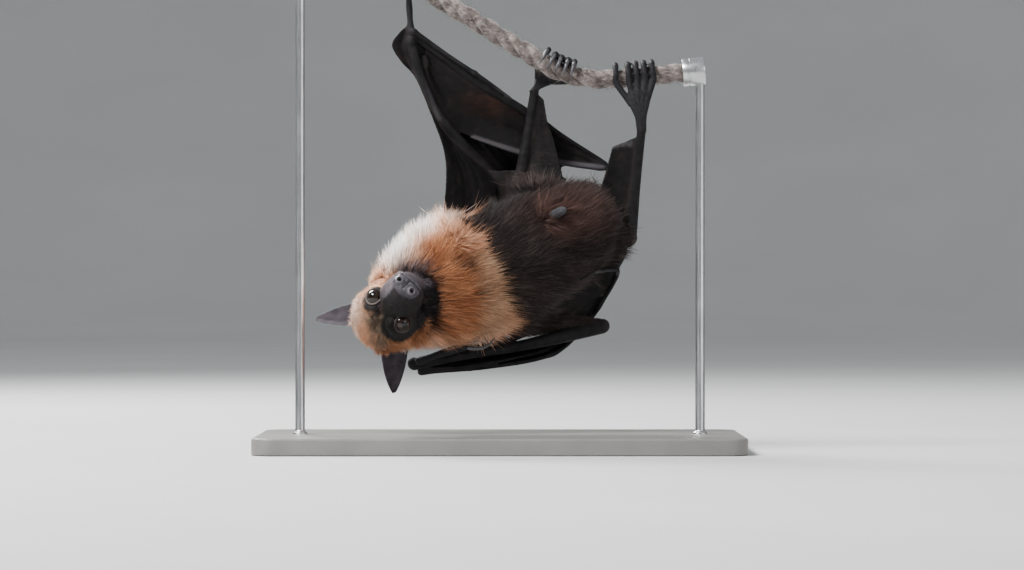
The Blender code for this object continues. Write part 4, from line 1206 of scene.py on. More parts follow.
COAT_COLOURS = {
    "dark": [
        (0.30, (0.018, 0.0128, 0.0118)),
        (0.55, (0.038, 0.0268, 0.0246)),
        (0.75, (0.072, 0.052, 0.047)),
    ],
    "gold": [(0.30, (0.54, 0.245, 0.13)), (0.50, (0.69, 0.36, 0.215)), (0.70, (0.80, 0.50, 0.34))],
    "cream": [(0.30, (0.80, 0.70, 0.62)), (0.58, (0.94, 0.91, 0.88))],
    "orange": [(0.30, (0.22, 0.070, 0.026)), (0.48, (0.38, 0.145, 0.062)), (0.68, (0.58, 0.27, 0.13))],
    "tan": [(0.30, (0.32, 0.155, 0.082)), (0.50, (0.50, 0.285, 0.165)), (0.70, (0.66, 0.43, 0.28))],
    # mask is the face's near black and also its painted shade; grey is painted light on it.
    "mask_and_shade": [(0.30, (0.009, 0.0075, 0.008)), (0.70, (0.024, 0.020, 0.021))],
    "grey": [(0.30, (0.12, 0.098, 0.112)), (0.70, (0.24, 0.20, 0.225))],
    "brow": [(0.36, (0.026, 0.016, 0.010)), (0.51, (0.090, 0.057, 0.036)), (0.66, (0.25, 0.18, 0.125))],
    "rufous": [(0.30, (0.055, 0.026, 0.021)), (0.70, (0.16, 0.080, 0.066))],
}
SKIN_MARKS = (
    "web", "bone", "foot", "ear", "sheath", "wet", "lid", "hole_shade", "inner", "painted_highlight", "nostril", "painted_glow",
)
NOT_FLESH = ("eye_", "claw_", "thumb_claw", "perch_", "stand_")
SKIN_COLOURS = {
    "web": [
        (0.28, (0.0025, 0.0020, 0.0022)),
        (0.55, (0.0050, 0.0040, 0.0042)),
        (0.78, (0.013, 0.0088, 0.0074)),
    ],
    "bone": [(0.3, (0.004, 0.0036, 0.0042)), (0.7, (0.013, 0.0115, 0.0125))],
    "ear": [(0.3, (0.10, 0.09, 0.113)), (0.7, (0.185, 0.168, 0.206))],
    # inner is painted shade inside the rolled ears; the ear's own skin is the lavender grey above.
    "inner": [(0.3, (0.020, 0.016, 0.020)), (0.7, (0.060, 0.050, 0.060))],
    "foot": [(0.3, (0.0055, 0.0052, 0.006)), (0.7, (0.018, 0.017, 0.020))],
    "sheath": [(0.3, (0.022, 0.022, 0.025)), (0.7, (0.065, 0.063, 0.068))],
    "wet": [(0.3, (0.030, 0.027, 0.033)), (0.7, (0.085, 0.077, 0.09))],
    "lid": [(0.3, (0.14, 0.11, 0.10)), (0.7, (0.27, 0.22, 0.20))],
}
MOTTLED = ("web", "bone", "ear", "inner")
# Plain colours: a painted highlight for the edges of bone, the nostril rims, and the near black of painted
# shade in the nostrils and mouth.
PLAIN = {"painted_highlight": (0.10, 0.092, 0.10), "nostril": (0.15, 0.135, 0.15), "hole_shade": (0.006, 0.005, 0.006)}
UNDER_FUR = (0.03, 0.02, 0.02)
# Painted glow: the warm colour of light shining through the thin wing web.
PAINTED_GLOW = (0.052, 0.020, 0.012)
FLESH = [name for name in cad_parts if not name.startswith(NOT_FLESH)]
# The middle of the web's painted glow.
THIN_WEB = (-2, 20, 217)
# Painted highlights: pale lines where light catches the bones and the web edges. Each gives a start, an
# end, a width and a strength.
PAINTED_BONE_HIGHLIGHTS = [
    ((-16.0, 21.0, 194.0), (11.8, 23.5, 185.0), 2.4, 0.7),
    ((11.8, 23.5, 185.0), (37.2, 25.5, 178.8), 2.4, 0.8),
    ((37.2, 25.5, 178.8), (64.0, 27.5, 175.4), 2.2, 1.0),
    ((-56.0, 6.0, 250.0), (-38.0, 10.0, 206.0), 1.6, 0.45),
    ((69.4, -5.6, 188.0), (81.0, -7.0, 190.0), 1.5, 0.8),
    ((73.4, 17.0, 109.5), (66.0, 8.0, 111.5), 2.0, 0.8),
    ((66.0, 8.0, 111.5), (59.0, -4.5, 110.5), 2.0, 0.6),
    ((-53.5, 5.0, 259.5), (6.0, 15.0, 219.5), 1.4, 0.35),
]


def packed_surface(tags):
    """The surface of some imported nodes, to measure against, and its node's tag for each face."""
    places, faces, owners = [], [], []
    for name, tag in tags.items():
        node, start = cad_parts[name], len(places)
        places += [v.co / MM for v in node.data.vertices]
        faces += [[i + start for i in p.vertices] for p in node.data.polygons]
        owners += [tag] * len(node.data.polygons)
    return BVHTree.FromPolygons(places, faces), owners


def zones_near(places):
    """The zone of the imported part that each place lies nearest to, as one row of 0s and a 1."""
    web_zone = ZONES.index("web")
    solid, owners = packed_surface({name: ZONE_OF.get(name.split("_")[0], web_zone) for name in FLESH})
    return np.eye(len(ZONES))[[owners[solid.find_nearest(place)[2]] for place in places.tolist()]]


def blurred(mesh, table, rounds):
    """Columns of numbers, one row to a vertex, spread over the skin so that they have soft edges."""
    edges = edges_of(mesh)
    degree = np.bincount(edges.ravel(), minlength=len(table)) + 1
    for _ in range(rounds):
        for k in range(table.shape[1]):
            table[:, k] = (neighbour_sum(edges, table[:, k]) + table[:, k]) / degree
    return table


def golden_marks(places, head, body):
    """The golden mantle and head, with the white flank, the orange throat and the tan beside it."""
    x, y, z = places.T
    nose, _, left = head_coordinates(places).T
    front = 1 - rise(y, -12, 6)
    edge_z, edge_x = np.array(MANTLE_EDGE).T
    edge = np.interp(z, edge_z, edge_x) - 5.0 * rise(y, 0, 25)
    gold = np.maximum(head, body * rise(edge - x, -2.5, 3.5))

    from_flank = (x - FLANK_MIDDLE[0]) * FLANK_WAY[1] - (z - FLANK_MIDDLE[1]) * FLANK_WAY[0]
    down_flank = (x - FLANK_MIDDLE[0]) * FLANK_WAY[0] + (z - FLANK_MIDDLE[1]) * FLANK_WAY[1]
    cream = (1 - rise(from_flank, 8, 25)) * rise(down_flank, -34, -18)
    cream = cream * (1 - 0.6 * rise(down_flank, 16, 30)) * (1 - 0.65 * rise(y, 0, 20))
    cream = np.maximum(cream, 0.5 * rise(y, 2, 24) * (1 - 0.7 * head))
    cream = np.maximum(cream, 0.42 * (1 - rise(z, 67, 82)) * body)

    behind_face = 1 - rise(nose, -3, 4)
    seen = places[:, [0, 2]]
    far = beside_line(seen, *THROAT_LINE)
    orange = (1 - rise(far, 8, 23)) * front * (1 - cream) * (1 - head * rise(-nose, -2, 8))
    orange = np.maximum(orange, 0.7 * head * rise(-left, 4, 13) * behind_face)
    far = beside_line(seen, *CHEST_LINE)
    tan = (1 - rise(far, 6, 19)) * front * body * (1 - cream)
    tan = np.maximum(tan, head * rise(-left, 1, 11) * behind_face)
    return gold, cream, orange, tan


def dark_marks(places, head, body):
    """The black mask, round the eyes, over the bridge and down the chin, widened by painted shade over
    the right side of the face, and its grey parts, which are painted light on the lit left side of
    the muzzle and on the chin.
    """
    x, y, z = places.T
    nose, crown, left = head_coordinates(places).T
    start = np.interp(left, *MASK_EDGE)
    bridge = rise(nose + 0.35 * crown - start, -2.0, 2.0) * rise(crown, -25, -19)
    flat_side = rise(nose, 4.5, 8.5) * rise(left, 2, 5) * (1 - rise(crown, 0.5, 3.0))
    mask_and_shade = np.maximum(bridge, flat_side)
    # Dark patches round the eyes; the right one is widened by painted shade.
    for way, size, aside in EYE_PATCHES:
        far = np.linalg.norm(places - EYES[way] - aside, axis=1)
        mask_and_shade = np.maximum(mask_and_shade, 1 - rise(far, size - 1.2, size + 1.6))
    # Painted shade over the right side of the head, behind the eye.
    mask_and_shade = np.maximum(mask_and_shade, rise(-left, 6, 10) * rise(nose, -9, -5) * (1 - rise(crown, 7, 11)))
    mask_and_shade = mask_and_shade * head
    # A dark patch on the throat under the chin: partly the chin's dark fur, partly painted shade below it.
    chin = np.linalg.norm((places[:, [0, 2]] - CHIN_MIDDLE) / CHIN_REACH, axis=1)
    chin = (1 - rise(chin, 0.86, 1.06)) * body * (1 - rise(y, -28, -22)) * rise(x, -69, -63)
    # Grey: painted light on the lit left side of the muzzle, below the eye, and on the chin.
    below_eye = rise(left, 2.0, 7.0) * (1 - rise(crown, -1, 3))
    grey = head * rise(nose, 3, 8) * np.maximum(below_eye, 1 - rise(crown, -17, -13))
    grey = np.maximum(grey, 0.9 * chin * rise(z, 95, 103) * (1 - rise(x, -47, -40)))
    return np.maximum(mask_and_shade, chin), grey


def fur_marks(places, zones):
    """How strongly each colour of the coat shows at a place, from 0 to 1. The columns are FUR_MARKS."""
    x, y, _ = places.T
    from_eyes = head_coordinates(places)
    head, body = zones[:, 0] + zones[:, 3], zones[:, 1]
    gold, cream, orange, tan = golden_marks(places, head, body)
    mask_and_shade, grey = dark_marks(places, head, body)
    streak = np.minimum(*(beside_line(places[:, [0, 2]], *line) for line in STREAKS))
    mask_and_shade = np.maximum(mask_and_shade, 0.66 * (1 - rise(streak, 0.8, 3.6)) * body * (1 - rise(y, -12, 6)))
    brow = hill(np.linalg.norm((from_eyes - (2.0, 8.0, -1.0)) / (1.1, 0.9, 1.1), axis=1), 11.5)
    crown = hill(np.linalg.norm(from_eyes + (11, -13.5, 7), axis=1), 7.5)
    brow = head * np.maximum(brow, 0.8 * crown)
    rufous = hill(np.linalg.norm((places - GROIN) / (1.5, 1.4, 1.0), axis=1), 21)
    # Painted rim light: cream along the left outline of the head, on its near side.
    rim = head * (1 - rise(x, -88, -80)) * (1 - rise(y, -30, -20))
    return np.stack([gold, cream, orange, mask_and_shade, brow, rufous, tan, rim, grey], 1)


def skin_marks(places, normals, zones):
    """How strongly each kind of bare skin shows at a place. The columns are SKIN_MARKS: the zones, the
    wet nose, lid rims, painted shade in the nostrils and along the mouth, painted shade inside the
    ears, painted highlights along edges of bone, nostril rims, and the painted glow of light through
    the thin web."""
    nose, crown, left = head_coordinates(places).T
    head = rise(zones[:, 0], 0.2, 0.6)
    lid, hole_shade, inner, painted_highlight, nostril = np.zeros((5, len(places)))
    # Painted highlights along the bones and web edges.
    for start, end, wide, share in PAINTED_BONE_HIGHLIGHTS:
        far = beside_line(places, start, end)
        painted_highlight = np.maximum(painted_highlight, share * (1 - rise(far, wide * 0.6, wide * 1.3)))
    # A pale rim of lid on the crown side of each eye, made weaker round the right eye as painted shade.
    for way, strength in ((1, 0.6), (-1, 0.25)):
        out = places - EYES[way]
        far = np.linalg.norm(out, axis=1)
        angle = np.arccos(np.clip(out @ GAZE[way] / np.maximum(far, 1e-6), -1, 1))
        rim = strength * hill(angle - np.radians(59), 0.045) * (1 - rise(far, 7.2, 8.0))
        lid = np.maximum(lid, rim * rise(out @ CROWN_WAY, -2, 2))
        _, along, wide = nostril_frame(places, way)
        # Painted shade in the pit of each nostril.
        hole_shade = np.maximum(hole_shade, (1 - rise(wide, 0.9, 1.7)) * (1 - rise(along, -1.2, -0.2)))
        nostril = np.maximum(nostril, hill(wide - 2.1, 0.45) * rise(along, -1.5, -0.3) * head)
        # Painted shade inside each ear, on the skin that faces its opening.
        facing = normals @ unit(NOSE_WAY * 0.75 + LEFT_WAY * way * 0.5)
        inner = np.maximum(inner, rise(facing, 0.0, 0.6) * zones[:, 3] * (left * way > 0))
    # Painted shade also along the crease between the lips.
    hole_shade = np.maximum(hole_shade, 0.9 * hill(crown - lip_line(nose), LIP_GAP) * rise(nose, 6.0, 10.0)) * head
    wet = rise(nose, 19, 24) * head * (1 - 0.5 * rise(crown, -3, 0))
    # Painted glow where light shines through the thin web.
    thin = np.linalg.norm((places - THIN_WEB) / (1.8, 1, 0.8), axis=1)
    painted_glow = zones[:, 6] * (1 - rise(thin, 2, 18))
    of_zone = [zones[:, ZONES.index(name)] for name in SKIN_MARKS[:5]]
    return np.stack([*of_zone, wet, lid * head, hole_shade, inner, painted_highlight * (1 - head), nostril, painted_glow], 1)


def write_vector(mesh, name, rows):
    """Stores three numbers for each vertex under a name that the nodes read."""
    layer = mesh.attributes.new(name, "FLOAT_VECTOR", "POINT")
    layer.data.foreach_set("vector", np.ascontiguousarray(rows, np.float32).ravel())


def write_marks(mesh, table, names):
    """Stores columns of marks, three to a vector attribute, under names that the nodes read."""
    for start in range(0, len(names), 3):
        write_vector(mesh, "marks_" + names[start], table[:, start : start + 3])


def read_marks(finish, names):
    """The marks that write_marks stored, as node outputs by name."""
    marks = {}
    for start in range(0, len(names), 3):
        parts = finish.node("SeparateXYZ", {0: finish.read("marks_" + names[start])})
        marks.update({name: parts.outputs[k] for k, name in enumerate(names[start : start + 3])})
    return marks


def coat_colour(finish):
    """The coat's colours from the marks at the hair's root, with ragged edges between them. The skin
    and every piece of the coat take it from here."""
    root = finish.read("root")
    ragged = finish.noise(420, 4, at=root)
    patchy = finish.noise(95, 4, at=root)
    marks = read_marks(finish, FUR_MARKS)
    for name, value in marks.items():
        edge = finish.plus(value, finish.fit(ragged, 0.25, 0.75, -0.2, 0.2))
        marks[name] = finish.fit(edge, 0.25, 0.75)
    marks["rufous"] = finish.times(marks["rufous"], 0.8)
    # The painted rim light, at about a third of full strength, in the cream's colours.
    marks["rim"] = finish.times(marks["rim"], 0.32)
    shades = {}
    for name, stops in COAT_COLOURS.items():
        shades[name] = finish.ramp(ragged if name == "brow" else patchy, stops)
    shades["rim"] = shades["cream"]
    colour = finish.mix(marks["rufous"], shades["dark"], shades["rufous"])
    head = shades["gold"]
    for name in ("tan", "orange", "rim", "cream", "brow"):
        head = finish.mix(marks[name], head, shades[name])
    colour = finish.mix(marks["gold"], colour, head)
    # The mask goes over all, with its painted shade, and the grey on it is painted light.
    return finish.mix(marks["mask_and_shade"], colour, finish.mix(marks["grey"], shades["mask_and_shade"], shades["grey"]))


skin_mesh = make_skin()
skin_places = places_of(skin_mesh) / MM
skin_zones = zones_near(skin_places)
soft_zones = blurred(skin_mesh, skin_zones.copy(), 5)
write_marks(skin_mesh, fur_marks(skin_places, soft_zones), FUR_MARKS)
write_marks(skin_mesh, skin_marks(skin_places, normals_of(skin_mesh), soft_zones), SKIN_MARKS)
write_vector(skin_mesh, "root", skin_places * MM)

skin_finish = Finish("bare_skin", Specular_IOR_Level=0.14)
kinds = read_marks(skin_finish, SKIN_MARKS)
mottle = skin_finish.noise(150, 5)
fine = skin_finish.noise(900, 4)
streaks = skin_finish.noise(240, 3, stretch=(0.5, 1.0, 1.6))
# The painted glow of light through the web, in streaks.
painted_glow = skin_finish.times(kinds["painted_glow"], skin_finish.fit(streaks, 0.35, 0.7, 0.1, 0.6))
shades = dict(PLAIN)
for kind, stops in SKIN_COLOURS.items():
    shades[kind] = skin_finish.ramp(mottle if kind in MOTTLED else fine, stops)
shades["web"] = skin_finish.mix(painted_glow, shades["web"], PAINTED_GLOW)
shares = dict(kinds)
# The painted highlights at a little over half strength.
shares["painted_highlight"] = skin_finish.times(kinds["painted_highlight"], 0.55)
shares["ear"] = skin_finish.fit(kinds["ear"], 0.05, 0.6)
shares["nostril"] = skin_finish.times(kinds["nostril"], 0.7)
colour = skin_finish.mix(0.45, coat_colour(skin_finish), UNDER_FUR)
for kind in ("web", "bone", "painted_highlight", "foot", "ear", "inner", "sheath", "wet", "nostril", "lid", "hole_shade"):
    colour = skin_finish.mix(shares[kind], colour, shades[kind])
skin_finish.link("Base Color", colour)
dampness = skin_finish.plus(kinds["wet"], skin_finish.times(fine, 0.5))
skin_finish.link("Roughness", skin_finish.fit(dampness, 0.2, 1.3, 0.66, 0.30))
cells = {"Vector": skin_finish.place(), "Scale": 520.0}
creases = skin_finish.node("TexVoronoi", cells, feature="DISTANCE_TO_EDGE").outputs[0]
skin_finish.bump(
    (skin_finish.noise(160, 5, stretch=(1, 1, 2.2)), 0.5, 0.0010),
    (skin_finish.fit(creases, 0.0, 0.12), 0.25, 0.0002),
    (skin_finish.noise(620, 4, stretch=(1, 1, 2.0)), 0.3, 0.0003),
    (skin_finish.noise(2300, 3), 0.3, 0.00012),
)
skin = added("skin", skin_mesh, skin_finish.material)
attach(skin, "root")
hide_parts(*FLESH)

# ---------------------------------------------------------------- Eyes
# Two glossy dark brown eyes of wet living tissue. Each is a ball that stands out a little over the
# pupil, and it sits in its socket behind the lids.
PUPIL = math.radians(21)
IRIS = math.radians(49)
EYE_RINGS = 58
EYE_SIDES = 64


def make_eye(way):
    """An eyeball with its pole at the pupil, which stands out a little."""
    gaze = GAZE[way]
    level = unit(NOSE_WAY - NOSE_WAY.dot(gaze) * gaze)
    axes = np.array([gaze, level, np.cross(gaze, level)])
    down = np.linspace(0, math.pi, EYE_RINGS + 2)[1:-1]
    around = np.linspace(0, 2 * math.pi, EYE_SIDES, endpoint=False)
    radius = EYE_RADIUS - 0.12 + 0.3 * hill(down, math.radians(38))
    shape = ball(down, around) * radius[:, None, None]
    places, faces = closed_form(EYES[way] + shape @ axes)
    mesh = mixed_mesh("eye", places * MM, faces)
    angle = np.repeat(down, EYE_SIDES).astype(np.float32)
    mesh.attributes.new("from_pupil", "FLOAT", "POINT").data.foreach_set("value", angle)
    bearing = np.tile(around, EYE_RINGS)
    write_vector(mesh, "bearing", np.stack([np.cos(bearing), np.sin(bearing), np.zeros(len(bearing))], 1))
    return mesh


eye_finish = Finish(
    "eye_brown", Roughness=0.12, Specular_IOR_Level=0.22, Coat_Weight=0.35, Coat_Roughness=0.02
)
from_pupil = eye_finish.read("from_pupil", "Fac")
rays = eye_finish.noise(7, 3, at=eye_finish.read("bearing"))
iris = eye_finish.ramp(rays, [(0.35, (0.007, 0.004, 0.003)), (0.65, (0.022, 0.011, 0.007))])
iris_edge = eye_finish.fit(from_pupil, IRIS - 0.10, IRIS + 0.05)
pupil_edge = eye_finish.fit(from_pupil, PUPIL - 0.04, PUPIL + 0.04)
outer = eye_finish.mix(iris_edge, iris, (0.008, 0.006, 0.006))
eye_finish.link("Base Color", eye_finish.mix(pupil_edge, (0.003, 0.002, 0.002), outer))
for name, way in (("left", 1), ("right", -1)):
    eye = added(f"eyeball_{name}", make_eye(way), eye_finish.material)
    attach(eye, "root")
    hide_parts(f"eye_{name}")

# ---------------------------------------------------------------- Claws
# Curved claws of dark polished horn, deep and narrow in section. Each grows from the end of a toe or
# thumb, and all but the right thumb's are hooked over the rope.
CLAW_START = 124 + math.degrees(0.66 / TOE_RING)
CLAW_BENDS = ((0, 0), (24, 0.5), (48, 0.1), (68, -0.9))
THUMB_CLAW_BENDS = ((112, 0), (140, 0.4), (168, 0.1), (190, -1))
CLAW_RADII = [1.75, 1.65, 1.35, 0.9, 0.3]
CLAW_FLAT = 0.82
THUMB_CLAW_RADII = [1.6, 1.5, 1.2, 0.8, 0.3]
THUMB_CLAWS = {
    "left": [around_rope(THUMB_GRIP_X, turn, THUMB_RING + lift, False) for turn, lift in THUMB_CLAW_BENDS],
    "right": [RIGHT_THUMB[-1], (-14.0, -15.8, 63.2), (-8.0, -16.2, 64.6), (-3.4, -16.8, 69.6)],
}


def make_claws(paths, radii):
    """Claws along their paths, as one mesh."""
    places, faces = joined([limb(path, radii, 30, 16, flat=CLAW_FLAT) for path in paths])
    return mixed_mesh("claws", places * MM, faces)


horn = Finish("claw_horn", Roughness=0.42, Coat_Weight=0.1, Coat_Roughness=0.2)
horn_grain = horn.noise(1300, 3)
horn_shades = [(0.3, (0.024, 0.023, 0.026)), (0.6, (0.065, 0.062, 0.069)), (0.8, (0.14, 0.134, 0.147))]
horn.link("Base Color", horn.ramp(horn_grain, horn_shades))
horn.bump((horn_grain, 0.3, 0.0001))
for side in ("left", "right"):
    hooks = [
        [around_rope(x, CLAW_START + turn, TOE_RING + lift, side == "right") for turn, lift in CLAW_BENDS]
        for x, _ in TOES[side]
    ]
    claws = added(f"claws_{side}_foot", make_claws(hooks, CLAW_RADII), horn.material)
    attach(claws, "root")
    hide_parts(*(f"claw_{side}_{k}" for k in range(1, 6)))
    claw = added(f"claw_{side}_thumb", make_claws([THUMB_CLAWS[side]], THUMB_CLAW_RADII), horn.material)
    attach(claw, "root")
    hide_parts(f"thumb_claw_{side}")

# ---------------------------------------------------------------- Coat
# Dense soft fur in fine tapered tufts, rooted in the skin. It lies away from the nose, is shortest on
# the face, and stands out most on the mantle. Neighbouring tufts lean together into locks.
FURRED = ["head", "neck", "trunk", "thigh_left", "thigh_right", "upper_arm_left", "upper_arm_right"]
NOSE_TIP = head_place(27, -7, 0)
LOCK_SIZE = 2.6
PATCH = 0.003
FACE_FROM = -6.0
DENSITY = {"face": 27.0, "head": 6.5, "mantle": 4.2, "trunk": 3.0, "limb": 2.2}
LONG_ENOUGH = 3.4
LONGEST_REACH = 15.5
LEAST_REACH = 2.5
LEAST_FACE_REACH = 0.85
HEAD_ZONE, BODY_ZONE, LIMB_ZONE, EAR_ZONE = (ZONES.index(name) for name in ("head", "body", "limb", "ear"))
UNDER_CHEST = (-42, 66)
OVER_WING = (15, 78)
CHEST_BY_WING = (-13, -17, 66)
SHEATH_ROOT = (37, -28, 147)
ROOT_DEPTH = 0.35
LIFT = {"mantle": 0.88, "head": 0.72, "body": 0.60, "face": 0.36}
LIFT_SPREAD = 0.18
LENGTH_SPREAD = 0.16
SHORTEST, LONGEST = 0.9, 21
STRAY_SHARE = 0.035
STRAY_LIFT, STRAY_LENGTH, STRAY_WIDTH = 1.35, 1.12, 0.6
LOCK_PULL = 0.45
ROOT_WIDTH, WIDTH_BY_LENGTH = 0.22, 0.012
SHORT_ALONG = (0, 0, 0, 1.0)
SHORT_PATCH = ((-0.5, -0.5), (0, -0.5), (0.5, -0.5), (0, 0.5))
LONG_ALONG = (0, 0, 0, SPIKE_BEND, SPIKE_BEND, SPIKE_BEND, 1.0)
LONG_PATCH = ((-0.5, -0.5), (0, -0.5), (0.5, -0.5), (-0.4, 0.02), (0, 0.02), (0.4, 0.02), (0, 0.5))
QUARTERS = ("back_right", "back_left", "belly_left", "belly_right")
BODY_AXIS = unit(np.array([0.86, 0.1, 0.5]))
BODY_MIDDLE = np.array([20.0, 0, 126])
LOCK_WAVES = ((1.1, 0.7, 0.3), (0.4, 1.2, 0.8), (0.9, -0.5, 1.0))
LIE_WAVES = ((0.11, 0.07, 0.09), (0.08, 0.12, -0.1), (-0.09, 0.1, 0.12))


def reach_of(shell, owners, root, normal):
    """How far the coat's outer form stands above a root, through any seams in it, and its node."""
    place, far, owner, done = Vector(root), 0.0, -1, 0.0
    way = Vector(normal)
    for _ in range(4):
        hit, face_way, index, gap = shell.ray_cast(place + way * 0.02, way, 30)
        if hit is None:
            break
        done += gap + 0.02
        if face_way.dot(way) > 0:
            far = done
            owner = owners[index] if owner < 0 else owner
        elif done - far > 1.2:
            break
        place = hit
    return far, owner


def sown(mesh, rng):
    """Places, normals and zone of roots scattered evenly over each kind of furred skin."""
    mesh.calc_loop_triangles()
    tris = np.empty(len(mesh.loop_triangles) * 3, np.int32)
    mesh.loop_triangles.foreach_get("vertices", tris)
    tris = tris.reshape(-1, 3)
    places, normals = places_of(mesh) / MM, normals_of(mesh)
    corner = places[tris]
    area = np.linalg.norm(np.cross(corner[:, 1] - corner[:, 0], corner[:, 2] - corner[:, 0]), axis=1) / 2
    middle = corner.mean(1)
    nose = head_coordinates(middle)[:, 0]
    zone = skin_zones[tris[:, 0]].argmax(1)
    kinds = {
        "face": (zone == HEAD_ZONE) & (nose > FACE_FROM),
        "head": ((zone == HEAD_ZONE) & (nose <= FACE_FROM)) | (zone == EAR_ZONE),
        "mantle": (zone == BODY_ZONE) & (middle[:, 0] < 0),
        "trunk": (zone == BODY_ZONE) & (middle[:, 0] >= 0),
        "limb": zone == LIMB_ZONE,
    }
    wanted = area * np.select(list(kinds.values()), [DENSITY[kind] for kind in kinds], 0.0)
    count = np.floor(wanted + rng.random(len(wanted))).astype(int)
    pick = np.repeat(np.arange(len(tris)), count)
    a, b = rng.random((2, len(pick)))
    flip = a + b > 1
    a[flip], b[flip] = 1 - a[flip], 1 - b[flip]
    weights = np.stack([1 - a - b, a, b], 1)[:, :, None]
    roots = (places[tris[pick]] * weights).sum(1)
    return roots, unit((normals[tris[pick]] * weights).sum(1)), zone[pick]


def scattered_roots(mesh, rng):
    """Places, normals, reach, node and zone of the roots that fur grows from."""
    roots, ways, zone = sown(mesh, rng)
    shell, owners = packed_surface({name: index for index, name in enumerate(FURRED)})
    found = [reach_of(shell, owners, root, way) for root, way in zip(roots.tolist(), ways.tolist())]
    reach, owner = (np.array(column) for column in zip(*found))
    on_face = zone == HEAD_ZONE
    nose, crown, left = head_coordinates(roots).T
    seen = roots[:, [0, 2]]
    ruff = hill((nose + 12) / 9, 1) * hill((crown + 3) / 9, 1) * rise(np.abs(left), 8, 14) * on_face
    under = hill(np.linalg.norm(seen - UNDER_CHEST, axis=1), 11) * rise(-roots[:, 1], 0, 8)
    behind = hill(np.linalg.norm((seen - OVER_WING) / (1.4, 1), axis=1), 10)
    on_body = np.maximum(reach, LEAST_REACH) + 2.5 * under + 4.5 * behind
    on_head = np.maximum(reach, LEAST_FACE_REACH) + 3.2 * ruff
    reach = np.where(on_face, on_head, np.where(zone == BODY_ZONE, on_body, reach))
    owner = np.where((owner < 0) & (zone <= BODY_ZONE), zone, owner)
    keep = (owner >= 0) & (reach > 0.25) & (rng.random(len(roots)) > bare_share(roots, zone))
    return roots[keep], ways[keep], reach[keep], owner[keep], zone[keep]


def bare_share(roots, zone):
    """1 where no fur grows: the nose pad, lips, lid rims, ears, under the thumb and round the sheath."""
    nose, crown, _ = head_coordinates(roots).T
    bare = rise(nose, 22.0, 24.5)
    for way in (1, -1):
        out = roots - EYES[way]
        far = np.linalg.norm(out, axis=1)
        angle = np.arccos(np.clip(out @ GAZE[way] / np.maximum(far, 1e-6), -1, 1))
        bare = np.maximum(bare, (1 - rise(angle, 1.0, 1.12)) * (far < 8.0))
        root, tip = ear_ends(way)
        along = ((roots - root) @ (tip - root)) / ((tip - root) @ (tip - root))
        beside = np.linalg.norm(roots - root - along[:, None] * (tip - root), axis=1)
        bare = np.maximum(bare, rise(along, 0.05, 0.15) * (1 - rise(beside, 10, 13)))
    bare = np.maximum(bare, hill(crown - lip_line(nose), 0.6) * rise(nose, 12, 16))
    bare = bare * ((zone == HEAD_ZONE) | (zone == EAR_ZONE))
    for start, end in zip(RIGHT_THUMB, RIGHT_THUMB[1:]):
        bare = np.maximum(bare, 1 - rise(beside_line(roots, start, end), 3.0, 4.5))
    return np.maximum(bare, 1 - rise(np.linalg.norm(roots - SHEATH_ROOT, axis=1), 4.0, 5.5))


def lie_of_coat(roots, ways, owner, rng):
    """The direction along the skin in which each tuft lies."""
    lie = unit(roots - NOSE_TIP) + 0.35 * unit(np.array([1.0, 0.1, 0.62]))
    for index, name in enumerate(FURRED):
        side = "left" if name.endswith("left") else "right"
        if name.startswith("thigh"):
            lie[owner == index] = unit(np.subtract(KNEE[side], HIP[side])) * 1.5
        elif name.startswith("upper_arm"):
            lie[owner == index] = unit(np.subtract(ELBOW[side], SHOULDER[side])) * 1.5
    swirl = np.stack([np.sin(roots @ np.array(wave) + 1.7 * k) for k, wave in enumerate(LIE_WAVES)], 1)
    lie = lie + 0.30 * swirl + rng.normal(0, 0.18, roots.shape)
    return unit(lie - (lie * ways).sum(1)[:, None] * ways)


def longest_at(roots, on_head, mask_and_shade):
    """How long a tuft may grow at a place: short round the eyes, on the muzzle and beside the ears."""
    nose = head_coordinates(roots)[:, 0]
    on_face = 2.4 + 0.62 * np.maximum(0, 4 - nose)
    by_ear = np.full(len(roots), 30.0)
    for way in (1, -1):
        root, tip = ear_ends(way)
        from_ear = np.linalg.norm(roots - (root * 0.6 + tip * 0.4), axis=1)
        by_ear = np.minimum(by_ear, 2.0 + 0.6 * np.maximum(0, from_ear - 8))
        from_eye = np.linalg.norm(roots - EYES[way], axis=1)
        on_face = np.minimum(on_face, 1.5 + 0.75 * np.maximum(0, from_eye - 6.8))
    longest = np.minimum(by_ear, np.where(on_head, on_face, np.where(mask_and_shade > 0.7, 7.0, 30.0)))
    from_wing = np.linalg.norm(roots - CHEST_BY_WING, axis=1)
    return np.minimum(longest, 3.5 + 1.2 * np.maximum(0, from_wing - 7))


def locks(roots, tips, size):
    """The lock that each tuft belongs to, how many tufts it has, and where their tips meet."""
    jitter = 0.5 * LOCK_SIZE * np.stack([np.sin(roots @ np.array(wave)) for wave in LOCK_WAVES], 1)
    cell = np.floor((roots + jitter) / size[:, None]).astype(np.int64)
    _, lock = np.unique(cell @ np.array([1, 4096, 4096 * 4096]), return_inverse=True)
    members = np.bincount(lock)
    centre = np.stack([np.bincount(lock, weights=tips[:, k]) / members for k in range(3)], 1)
    return lock, members, centre[lock]


def leaning(lie, ways, lift):
    """The way a hair points when it lifts off its lie by an angle."""
    return lie * np.cos(lift)[:, None] + ways * np.sin(lift)[:, None]


